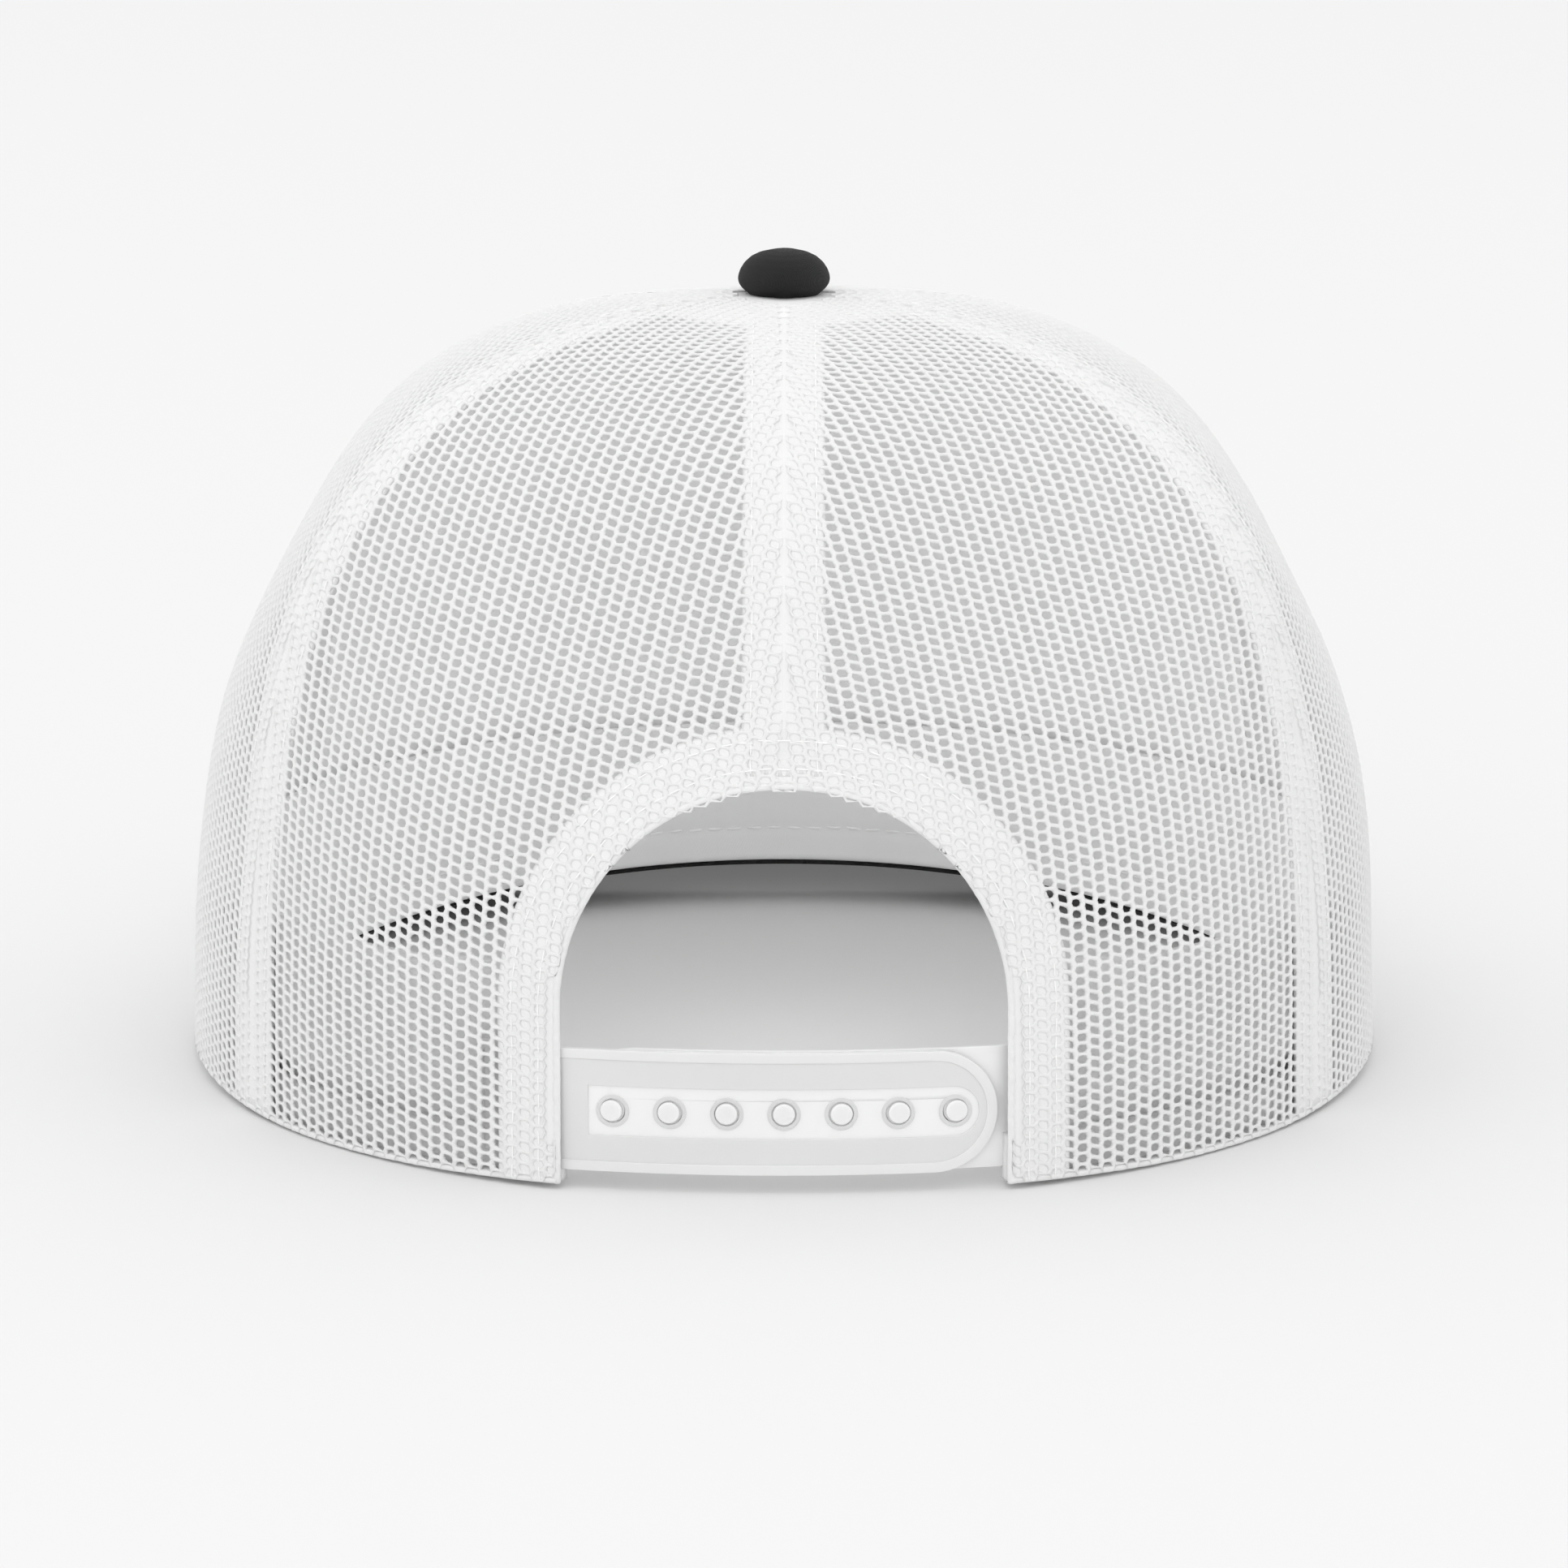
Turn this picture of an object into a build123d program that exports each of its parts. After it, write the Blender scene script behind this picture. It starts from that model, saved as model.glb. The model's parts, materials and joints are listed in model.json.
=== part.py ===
from build123d import *
import math
import os

os.makedirs("parts", exist_ok=True)

# ------------------------------------------------------------------ dimensions
# Frame: the visor points to -Y, +Z is up, the cap stands on Z = 0 and the
# crown's own axis runs through X = 0, Y = 0 until the final shift at the end.

RIM_HALF_WIDTH = 89.0        # outside half width of the rim, left to right
RIM_BACK = 93.0              # crown axis to the back of the rim
RIM_FRONT = 98.0             # crown axis to the front of the rim
CROWN_HEIGHT = 115.2         # top of the cloth above the table
CROWN_DROP_SIDE = (3.556, 2.579)     # how the side meridian closes in
CROWN_DROP_BACK = (2.518, 3.365)
CROWN_DROP_FRONT = (3.765, 1.944)
HEX_DEPTH = 0.085            # how much the crown shows its six corners
HEX_LEVEL = 0.755
HEX_SPREAD = 0.2455
SECTION_POINTS = 48
LEVELS = [0, 16, 33, 49, 63, 76, 88, 98, 105, 110, 113.3, 115.0]

CLOTH = (0.0, 1.0)           # depth of each layer under the outside surface
TAPE = (1.1, 1.7)
FRONT_TAPE = (1.8, 2.4)
HOLE_END = (1.8, 2.8)
PEG_END = (3.1, 4.1)
HEM = (1.8, 4.1)
BAND = (4.2, 5.4)

SEAM_GAP = 0.15              # half the gap between two neighbouring panels
TAPE_WIDTH = 12.0
TAPE_START = 13.0            # tapes begin this far from the crown's axis
AXIS_HOLE = 1.5

ARCH_HALF_WIDTH = 32.0
ARCH_SPRING = 25.0           # height at which the arch's round top begins
ARCH_TAPE_WIDTH = 8.5
ARCH_CLEAR = 0.15

BAND_HEIGHT = 31.0
HEM_HEIGHT = 7.0

VISOR_RADIUS = 690.0         # gentle left-to-right curve of the visor
VISOR_TOUCH = 91.1           # half width at which its underside meets Z = 0
VISOR_SKIN = 0.7
VISOR_BOARD = 1.8
VISOR_GAP = 0.05
VISOR_EDGE = 1.4             # width of the strip that closes the outer edge
VISOR_POINTS = [(-78.0, -46.2), (-86.8, -60.0), (-91.0, -82.0),
                (-88.0, -108.0), (-76.0, -134.0), (-55.0, -153.5),
                (-28.0, -165.0), (0.0, -168.6)]

BUTTON_RADIUS = 6.9
BUTTON_HEIGHT = 5.2
BUTTON_SKIN = 0.6
RIVET_RADIUS = 5.2
RIVET_THICKNESS = 0.9
RIVET_STEM = 1.2

STRAP_HEIGHT = 17.4
STRAP_BOTTOM = 1.6
STRAP_THICKNESS = 1.0
STRAP_RADIUS = 135.0         # middle of the hole strap, seen from above
STRAP_STEP = 1.3             # from the hole strap's middle to the peg strap's
PIVOT_X = 30.8
TIP_X = 29.8
RIM_LINE = 1.4
RIM_LINE_HEIGHT = 0.2
CHANNEL_HEIGHT = 7.3
HOLE_RADIUS = 1.85
PEG_RADIUS = 1.3
PEG_HEIGHT = 1.6
PEG_PITCH = 8.0
PEG_COUNT = 7
END_LENGTH = 13.0
PIVOT_DEPTH = 2.3            # pivot of the hole strap under the surface


# ------------------------------------------------------------- crown geometry
def hexagon(theta):
    """0 on a seam, 1 half way between two seams."""
    q = (theta - math.pi / 2) / (math.pi / 3)
    psi = abs(q - round(q)) * math.pi / 3
    soft = math.sqrt(psi * psi + math.radians(5) ** 2) - math.radians(5)
    flat = math.cos(math.pi / 6) / math.cos(math.pi / 6 - min(soft, math.pi / 6))
    return (1 - flat) / (1 - math.cos(math.pi / 6))


def close_in(f, pair):
    return (1 - f ** pair[0]) ** (1 / pair[1])


def crown_radius(theta, z):
    f = max(0.0, min(1.0, z / CROWN_HEIGHT))
    a = max(RIM_HALF_WIDTH * close_in(f, CROWN_DROP_SIDE), 1e-6)
    if math.sin(theta) >= 0:
        b = RIM_BACK * close_in(f, CROWN_DROP_BACK)
    else:
        b = RIM_FRONT * close_in(f, CROWN_DROP_FRONT)
    b = max(b, 1e-6)
    r = ((math.cos(theta) / a) ** 2 + (math.sin(theta) / b) ** 2) ** -0.5
    swell = math.exp(-(((f - HEX_LEVEL) / HEX_SPREAD) ** 2))
    return r * (1 - HEX_DEPTH * swell * hexagon(theta))


def meridian(theta, depth):
    count = 240
    raw = []
    for i in range(count + 1):
        z = CROWN_HEIGHT * math.sin(i / count * math.pi / 2)
        raw.append((crown_radius(theta, z), z))
    curve = []
    for i in range(count + 1):
        r0, z0 = raw[max(0, i - 1)]
        r1, z1 = raw[min(count, i + 1)]
        length = math.hypot(r1 - r0, z1 - z0)
        nr, nz = (z1 - z0) / length, -(r1 - r0) / length
        curve.append((raw[i][0] - depth * nr, raw[i][1] - depth * nz))
    return curve


def radius_on(curve, z):
    if z < curve[0][1]:
        return curve[0][0]
    for (r0, z0), (r1, z1) in zip(curve, curve[1:]):
        if z0 <= z <= z1:
            return r0 + (r1 - r0) * (z - z0) / (z1 - z0)
    return curve[-1][0]


def crown_body(depth, below=0.0):
    """The crown's outside shape moved inward by depth, as one solid."""
    angles = [math.pi / 2 + 2 * math.pi * i / SECTION_POINTS
              for i in range(SECTION_POINTS)]
    curves = [meridian(angle, depth) for angle in angles]
    top = CROWN_HEIGHT - depth - 0.2
    with BuildPart() as body:
        for k, level in enumerate(LEVELS):
            z = level * top / LEVELS[-1] if k else -below
            with BuildSketch(Plane.XY.offset(z)):
                with BuildLine():
                    Spline(*[(radius_on(c, max(z, 0.0)) * math.cos(a),
                              radius_on(c, max(z, 0.0)) * math.sin(a))
                             for c, a in zip(curves, angles)], periodic=True)
                make_face()
        loft()
    return body.part


depths = sorted({d for pair in (CLOTH, TAPE, FRONT_TAPE, HOLE_END, PEG_END, HEM, BAND)
                 for d in pair})
crown = {d: crown_body(d, 0.0 if d == 0.0 else 4.0) for d in depths}


def underside(x):
    """Height of the visor's underside above the table."""
    return (math.sqrt(VISOR_RADIUS ** 2 - x * x)
            - math.sqrt(VISOR_RADIUS ** 2 - VISOR_TOUCH ** 2))


VISOR_TOTAL = 2 * VISOR_SKIN + VISOR_BOARD + 2 * VISOR_GAP
ARC_CENTRE = -math.sqrt(VISOR_RADIUS ** 2 - VISOR_TOUCH ** 2)


# ------------------------------------------------------------------- cutters
def wedge(first, last, gap=SEAM_GAP):
    """Everything between two seam planes, kept a gap away from both."""
    a, b = math.radians(first), math.radians(last)
    m = (a + b) / 2
    start = gap / math.sin((b - a) / 2)
    o = (start * math.cos(m), start * math.sin(m))
    p = (o[0] + 220 * math.cos(a), o[1] + 220 * math.sin(a))
    q = (o[0] + 330 * math.cos(m), o[1] + 330 * math.sin(m))
    r = (o[0] + 220 * math.cos(b), o[1] + 220 * math.sin(b))
    with BuildPart() as tool:
        with BuildSketch(Plane.XY.offset(-10)):
            with BuildLine():
                Polyline(o, p, q, r, close=True)
            make_face()
        extrude(amount=150)
    return tool.part


def strip(angle, width, start):
    """A straight strip along one seam, from start outward."""
    with BuildPart() as tool:
        with BuildSketch(Plane(origin=(0, 0, -10), z_dir=(0, 0, 1),
                               x_dir=(math.cos(math.radians(angle)),
                                      math.sin(math.radians(angle)), 0))):
            with Locations((start + 70, 0)):
                Rectangle(140, width)
        extrude(amount=150)
    return tool.part


def arch(grow):
    """The prism of the back opening, grown by an even margin."""
    w = ARCH_HALF_WIDTH + grow
    with BuildPart() as tool:
        with BuildSketch(Plane.XZ):
            with BuildLine():
                Line((-w, -10), (w, -10))
                Line((w, -10), (w, ARCH_SPRING))
                RadiusArc((w, ARCH_SPRING), (-w, ARCH_SPRING), -w)
                Line((-w, ARCH_SPRING), (-w, -10))
            make_face()
        extrude(amount=-140)
    return tool.part


def under_arc(lift):
    """Everything in the front half that lies below the visor's curve."""
    with BuildPart() as tool:
        with BuildSketch(Plane.XZ):
            with BuildLine():
                h = math.sqrt((VISOR_RADIUS + lift) ** 2 - 100 ** 2) + ARC_CENTRE
                RadiusArc((-100, h), (100, h), VISOR_RADIUS + lift)
                Polyline((100, h), (100, -20), (-100, -20), (-100, h))
            make_face()
        extrude(amount=130)
    return tool.part


def visor_slab(low, high):
    """A curved slab between two heights over the visor's underside."""
    r0, r1 = VISOR_RADIUS + low, VISOR_RADIUS + high
    h0 = math.sqrt(r0 ** 2 - 100 ** 2) + ARC_CENTRE
    h1 = math.sqrt(r1 ** 2 - 100 ** 2) + ARC_CENTRE
    with BuildPart() as tool:
        with BuildSketch(Plane.XZ.offset(30)):
            with BuildLine():
                RadiusArc((-100, h0), (100, h0), r0)
                Line((100, h0), (100, h1))
                RadiusArc((100, h1), (-100, h1), -r1)
                Line((-100, h1), (-100, h0))
            make_face()
        extrude(amount=150)
    return tool.part


def visor_outline(inset):
    """The visor seen from above, its outer edge moved in by inset."""
    pts = []
    for i, (x, y) in enumerate(VISOR_POINTS):
        x0, y0 = VISOR_POINTS[max(0, i - 1)]
        x1, y1 = VISOR_POINTS[min(len(VISOR_POINTS) - 1, i + 1)]
        if i == len(VISOR_POINTS) - 1:
            x1 = -x0
            y1 = y0
        length = math.hypot(x1 - x0, y1 - y0)
        nx, ny = -(y1 - y0) / length, (x1 - x0) / length
        pts.append((x + inset * nx, y + inset * ny))
    full = pts + [(-x, y) for x, y in reversed(pts[:-1])]
    with BuildPart() as tool:
        with BuildSketch(Plane.XY.offset(-5)):
            with BuildLine():
                Spline(*full)
                Polyline(full[-1], (0, -0.5), full[0])
            make_face()
        extrude(amount=30)
    return tool.part


FRONT_CUT = under_arc(VISOR_TOTAL + 0.1)
RIM_CUT = under_arc(0.0)
FLOOR_TOP = 0.0


# ------------------------------------------------------------- front panels
def shell(part_builder_depths):
    outer, inner = part_builder_depths
    with BuildPart() as body:
        add(crown[outer])
        add(crown[inner], mode=Mode.SUBTRACT)
        with Locations((0, 0, -25)):
            Box(300, 300, 50, mode=Mode.SUBTRACT)
    return body.part


cloth = shell(CLOTH)
tape = shell(TAPE)
front_tape = shell(FRONT_TAPE)
band = shell(BAND)
hem = shell(HEM)
hole_shell = shell(HOLE_END)
peg_shell = shell(PEG_END)

with BuildPart() as front_panel_left:
    add(cloth)
    add(wedge(270, 330), mode=Mode.INTERSECT)
    add(FRONT_CUT, mode=Mode.SUBTRACT)
    Cylinder(AXIS_HOLE, 300, mode=Mode.SUBTRACT)
front_panel_left.part.label = "front_panel_left"

with BuildPart() as front_panel_right:
    add(cloth)
    add(wedge(210, 270), mode=Mode.INTERSECT)
    add(FRONT_CUT, mode=Mode.SUBTRACT)
    Cylinder(AXIS_HOLE, 300, mode=Mode.SUBTRACT)
front_panel_right.part.label = "front_panel_right"

# stiffening buckram behind each front panel
with BuildPart() as front_buckram_left:
    add(tape)
    add(wedge(270, 330, 0.8), mode=Mode.INTERSECT)
    add(FRONT_CUT, mode=Mode.SUBTRACT)
    Cylinder(TAPE_START, 300, mode=Mode.SUBTRACT)
front_buckram_left.part.label = "front_buckram_left"

with BuildPart() as front_buckram_right:
    add(tape)
    add(wedge(210, 270, 0.8), mode=Mode.INTERSECT)
    add(FRONT_CUT, mode=Mode.SUBTRACT)
    Cylinder(TAPE_START, 300, mode=Mode.SUBTRACT)
front_buckram_right.part.label = "front_buckram_right"

# -------------------------------------------------------------- mesh panels
with BuildPart() as side_mesh_left:
    add(cloth)
    add(wedge(-30, 30), mode=Mode.INTERSECT)
    add(RIM_CUT, mode=Mode.SUBTRACT)
    Cylinder(AXIS_HOLE, 300, mode=Mode.SUBTRACT)
side_mesh_left.part.label = "side_mesh_left"

with BuildPart() as side_mesh_right:
    add(cloth)
    add(wedge(150, 210), mode=Mode.INTERSECT)
    add(RIM_CUT, mode=Mode.SUBTRACT)
    Cylinder(AXIS_HOLE, 300, mode=Mode.SUBTRACT)
side_mesh_right.part.label = "side_mesh_right"

with BuildPart() as back_mesh_left:
    add(cloth)
    add(wedge(30, 90), mode=Mode.INTERSECT)
    add(arch(0.0), mode=Mode.SUBTRACT)
    Cylinder(AXIS_HOLE, 300, mode=Mode.SUBTRACT)
back_mesh_left.part.label = "back_mesh_left"

with BuildPart() as back_mesh_right:
    add(cloth)
    add(wedge(90, 150), mode=Mode.INTERSECT)
    add(arch(0.0), mode=Mode.SUBTRACT)
    Cylinder(AXIS_HOLE, 300, mode=Mode.SUBTRACT)
back_mesh_right.part.label = "back_mesh_right"

# ---------------------------------------------------------------- seam tapes
with BuildPart() as seam_tape_front_center:
    add(front_tape)
    add(strip(270, TAPE_WIDTH, TAPE_START), mode=Mode.INTERSECT)
    add(FRONT_CUT, mode=Mode.SUBTRACT)
seam_tape_front_center.part.label = "seam_tape_front_center"

with BuildPart() as seam_tape_front_left:
    add(front_tape)
    add(strip(330, TAPE_WIDTH, TAPE_START), mode=Mode.INTERSECT)
    add(FRONT_CUT, mode=Mode.SUBTRACT)
    with Locations((0, 0, HEM_HEIGHT / 2)):
        Box(300, 300, HEM_HEIGHT + 0.4, mode=Mode.SUBTRACT)
seam_tape_front_left.part.label = "seam_tape_front_left"

with BuildPart() as seam_tape_front_right:
    add(front_tape)
    add(strip(210, TAPE_WIDTH, TAPE_START), mode=Mode.INTERSECT)
    add(FRONT_CUT, mode=Mode.SUBTRACT)
    with Locations((0, 0, HEM_HEIGHT / 2)):
        Box(300, 300, HEM_HEIGHT + 0.4, mode=Mode.SUBTRACT)
seam_tape_front_right.part.label = "seam_tape_front_right"

with BuildPart() as seam_tape_side_left:
    add(tape)
    add(strip(30, TAPE_WIDTH, TAPE_START), mode=Mode.INTERSECT)
seam_tape_side_left.part.label = "seam_tape_side_left"

with BuildPart() as seam_tape_side_right:
    add(tape)
    add(strip(150, TAPE_WIDTH, TAPE_START), mode=Mode.INTERSECT)
seam_tape_side_right.part.label = "seam_tape_side_right"

with BuildPart() as seam_tape_back_center:
    add(tape)
    add(strip(90, TAPE_WIDTH, TAPE_START), mode=Mode.INTERSECT)
    add(arch(ARCH_TAPE_WIDTH + ARCH_CLEAR), mode=Mode.SUBTRACT)
seam_tape_back_center.part.label = "seam_tape_back_center"

# tape folded round the back opening
with BuildPart() as arch_tape:
    add(tape)
    with Locations((0, 75, 50)):
        Box(300, 150, 200, mode=Mode.INTERSECT)
    add(arch(ARCH_TAPE_WIDTH), mode=Mode.INTERSECT)
    add(arch(0.0), mode=Mode.SUBTRACT)
arch_tape.part.label = "arch_tape"

# ----------------------------------------------------------- rim hem and band
with BuildPart() as rim_hem:
    add(hem)
    with Locations((0, 0, HEM_HEIGHT / 2)):
        Box(300, 300, HEM_HEIGHT, mode=Mode.INTERSECT)
    add(arch(END_LENGTH + 1.0), mode=Mode.SUBTRACT)
    add(wedge(208.0, 332.0, 0.1), mode=Mode.SUBTRACT)
    add(RIM_CUT, mode=Mode.SUBTRACT)
rim_hem.part.label = "rim_hem"

with BuildPart() as sweatband:
    add(band)
    with Locations((0, 0, BAND_HEIGHT / 2)):
        Box(300, 300, BAND_HEIGHT, mode=Mode.INTERSECT)
    add(arch(0.6), mode=Mode.SUBTRACT)
    add(RIM_CUT, mode=Mode.SUBTRACT)
sweatband.part.label = "sweatband"

# --------------------------------------------------------------------- visor
inner_edge = crown[HEM[0]]

with BuildPart() as visor_under_cover:
    add(visor_slab(0.0, VISOR_SKIN))
    add(visor_outline(0.0), mode=Mode.INTERSECT)
    add(crown[PEG_END[1]], mode=Mode.SUBTRACT)
visor_under_cover.part.label = "visor_under_cover"

with BuildPart() as visor_board:
    add(visor_slab(VISOR_SKIN + VISOR_GAP, VISOR_SKIN + VISOR_GAP + VISOR_BOARD))
    add(visor_outline(VISOR_EDGE), mode=Mode.INTERSECT)
    add(crown[PEG_END[1]], mode=Mode.SUBTRACT)
visor_board.part.label = "visor_board"

with BuildPart() as visor_top_cover:
    add(visor_slab(VISOR_TOTAL - VISOR_SKIN, VISOR_TOTAL))
    add(visor_outline(0.0), mode=Mode.INTERSECT)
    add(crown[PEG_END[1]], mode=Mode.SUBTRACT)
visor_top_cover.part.label = "visor_top_cover"

with BuildPart() as visor_edge_strip:
    add(visor_slab(VISOR_SKIN + VISOR_GAP, VISOR_SKIN + VISOR_GAP + VISOR_BOARD))
    add(visor_outline(0.0), mode=Mode.INTERSECT)
    add(visor_outline(VISOR_EDGE - 0.1), mode=Mode.SUBTRACT)
    add(crown[PEG_END[1]], mode=Mode.SUBTRACT)
visor_edge_strip.part.label = "visor_edge_strip"

# -------------------------------------------------------------------- button
BUTTON_BASE = CROWN_HEIGHT - 0.15
DOME = BUTTON_HEIGHT - 1.6

with BuildPart() as button_cover:
    with BuildSketch(Plane.XZ):
        with BuildLine():
            Line((0, BUTTON_BASE + BUTTON_HEIGHT), (0, BUTTON_BASE + BUTTON_HEIGHT - BUTTON_SKIN))
            Spline((0, BUTTON_BASE + BUTTON_HEIGHT - BUTTON_SKIN),
                   (BUTTON_RADIUS - BUTTON_SKIN, BUTTON_BASE + 1.3),
                   tangents=((1, 0), (0.15, -1)))
            Polyline((BUTTON_RADIUS - BUTTON_SKIN, BUTTON_BASE + 1.3),
                     (BUTTON_RADIUS - 0.9, BUTTON_BASE),
                     (BUTTON_RADIUS - 0.3, BUTTON_BASE),
                     (BUTTON_RADIUS, BUTTON_BASE + 1.3))
            Spline((BUTTON_RADIUS, BUTTON_BASE + 1.3), (0, BUTTON_BASE + BUTTON_HEIGHT),
                   tangents=((-0.15, 1), (-1, 0)))
        make_face()
    revolve(axis=Axis.Z)
button_cover.part.label = "button_cover"

with BuildPart() as button_shell:
    with BuildSketch(Plane.XZ):
        with BuildLine():
            g = BUTTON_SKIN + 0.05
            Line((0, BUTTON_BASE + BUTTON_HEIGHT - g), (0, BUTTON_BASE + BUTTON_HEIGHT - g - 0.6))
            Spline((0, BUTTON_BASE + BUTTON_HEIGHT - g - 0.6),
                   (BUTTON_RADIUS - g - 0.6, BUTTON_BASE + 1.3),
                   tangents=((1, 0), (0.15, -1)))
            Line((BUTTON_RADIUS - g - 0.6, BUTTON_BASE + 1.3), (BUTTON_RADIUS - g, BUTTON_BASE + 1.3))
            Spline((BUTTON_RADIUS - g, BUTTON_BASE + 1.3), (0, BUTTON_BASE + BUTTON_HEIGHT - g),
                   tangents=((-0.15, 1), (-1, 0)))
        make_face()
    revolve(axis=Axis.Z)
button_shell.part.label = "button_shell"

RIVET_TOP = CROWN_HEIGHT - CLOTH[1] - 0.25
with BuildPart() as button_rivet:
    with BuildSketch(Plane.XZ):
        with BuildLine():
            Polyline((0, RIVET_TOP - RIVET_THICKNESS),
                     (RIVET_RADIUS - 0.4, RIVET_TOP - RIVET_THICKNESS),
                     (RIVET_RADIUS, RIVET_TOP - RIVET_THICKNESS + 0.4),
                     (RIVET_RADIUS, RIVET_TOP), (RIVET_STEM, RIVET_TOP),
                     (RIVET_STEM, BUTTON_BASE + 3.2), (0, BUTTON_BASE + 3.2), close=True)
        make_face()
    revolve(axis=Axis.Z)
button_rivet.part.label = "button_rivet"


# ------------------------------------------------------- adjustable snap strap
def surface_point(x, depth, z):
    """Y of the crown's surface moved inward by depth, at one X on the back."""
    low, high = 0.0, math.pi / 2
    for _ in range(50):
        mid = (low + high) / 2
        r = radius_on(meridian(mid, depth), z)
        if r * math.cos(mid) > x:
            low = mid
        else:
            high = mid
    return radius_on(meridian(low, depth), z) * math.sin(low)


STRAP_MIDDLE = STRAP_BOTTOM + STRAP_HEIGHT / 2
PIVOT_Y = surface_point(PIVOT_X, PIVOT_DEPTH, STRAP_MIDDLE)
STRAP_CENTRE_Y = PIVOT_Y - math.sqrt(STRAP_RADIUS ** 2 - PIVOT_X ** 2)
PEG_STRAP_RADIUS = STRAP_RADIUS - STRAP_STEP
PEG_PIVOT_Y = STRAP_CENTRE_Y + math.sqrt(PEG_STRAP_RADIUS ** 2 - PIVOT_X ** 2)
SLOT_END = TIP_X - (STRAP_HEIGHT - CHANNEL_HEIGHT) / 2


def strap_outline(side, inset, depth_radius, thick):
    """A curved strap blank with one round tip; side is +1 for a root at +X."""
    h = STRAP_HEIGHT / 2 - inset
    tip = -side * (TIP_X - inset)
    centre = -side * (TIP_X - STRAP_HEIGHT / 2)
    root = side * (PIVOT_X - (inset if inset else 0.0))
    with BuildPart() as blank:
        with BuildSketch(Plane.XZ):
            with BuildLine():
                Line((root, STRAP_MIDDLE - h), (centre, STRAP_MIDDLE - h))
                ThreePointArc((centre, STRAP_MIDDLE - h), (tip, STRAP_MIDDLE),
                              (centre, STRAP_MIDDLE + h))
                Line((centre, STRAP_MIDDLE + h), (root, STRAP_MIDDLE + h))
                Line((root, STRAP_MIDDLE + h), (root, STRAP_MIDDLE - h))
            make_face()
        extrude(amount=-140)
        with BuildSketch(Plane.XY.offset(-5)):
            with Locations((0, STRAP_CENTRE_Y)):
                Circle(depth_radius + thick / 2)
                Circle(depth_radius - thick / 2, mode=Mode.SUBTRACT)
        extrude(amount=40, mode=Mode.INTERSECT)
    return blank.part


def peg_place(i):
    """Plane of the i-th peg or hole: on the strap's middle, normal outward."""
    a = (i - (PEG_COUNT - 1) / 2) * PEG_PITCH / STRAP_RADIUS
    return Plane(origin=(STRAP_RADIUS * math.sin(a),
                         STRAP_CENTRE_Y + STRAP_RADIUS * math.cos(a), STRAP_MIDDLE),
                 x_dir=(math.cos(a), -math.sin(a), 0),
                 z_dir=(math.sin(a), math.cos(a), 0))


raised = STRAP_THICKNESS / 2 + RIM_LINE_HEIGHT / 2

with BuildPart() as hole_strap:
    add(strap_outline(1, 0.0, STRAP_RADIUS, STRAP_THICKNESS))
    # raised line round the strap's edge
    with BuildPart(mode=Mode.PRIVATE) as hole_rim:
        add(strap_outline(1, 0.0, STRAP_RADIUS + raised, RIM_LINE_HEIGHT))
        add(strap_outline(1, RIM_LINE, STRAP_RADIUS + raised, RIM_LINE_HEIGHT * 3),
            mode=Mode.SUBTRACT)
    add(hole_rim.part)
    # knuckle that the strap turns about
    with Locations((PIVOT_X, PIVOT_Y, STRAP_MIDDLE)):
        Cylinder(STRAP_THICKNESS / 2, STRAP_HEIGHT)
    for i in range(PEG_COUNT):
        with Locations(peg_place(i)):
            Cylinder(HOLE_RADIUS, 4.0, mode=Mode.SUBTRACT)
hole_strap.part.label = "hole_strap"

with BuildPart() as peg_strap:
    add(strap_outline(-1, 0.0, PEG_STRAP_RADIUS, STRAP_THICKNESS))
    with Locations((-PIVOT_X, PEG_PIVOT_Y, STRAP_MIDDLE)):
        Cylinder(STRAP_THICKNESS / 2, STRAP_HEIGHT)
    for i in range(PEG_COUNT):
        with Locations(peg_place(i)):
            with Locations((0, 0, -STRAP_STEP + STRAP_THICKNESS / 2 + PEG_HEIGHT / 2 - 0.2)):
                Cylinder(PEG_RADIUS, PEG_HEIGHT + 0.4)
peg_strap.part.label = "peg_strap"

END_START = PIVOT_X + STRAP_THICKNESS / 2 + 0.35

with BuildPart() as hole_strap_end:
    add(hole_shell)
    with Locations((END_START + END_LENGTH / 2, 75, STRAP_MIDDLE)):
        Box(END_LENGTH, 150, STRAP_HEIGHT, mode=Mode.INTERSECT)
hole_strap_end.part.label = "hole_strap_end"

with BuildPart() as peg_strap_end:
    add(peg_shell)
    with Locations((-END_START - END_LENGTH / 2, 75, STRAP_MIDDLE)):
        Box(END_LENGTH, 150, STRAP_HEIGHT, mode=Mode.INTERSECT)
peg_strap_end.part.label = "peg_strap_end"

# ---------------------------------------------------------------- final frame
NODES = [front_panel_left, front_panel_right, front_buckram_left, front_buckram_right,
         side_mesh_left, side_mesh_right, back_mesh_left, back_mesh_right,
         seam_tape_front_center, seam_tape_front_left, seam_tape_front_right,
         seam_tape_side_left, seam_tape_side_right, seam_tape_back_center, arch_tape,
         rim_hem, sweatband, visor_under_cover, visor_board, visor_top_cover,
         visor_edge_strip, button_cover, button_shell, button_rivet,
         hole_strap, peg_strap, hole_strap_end, peg_strap_end]

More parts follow.
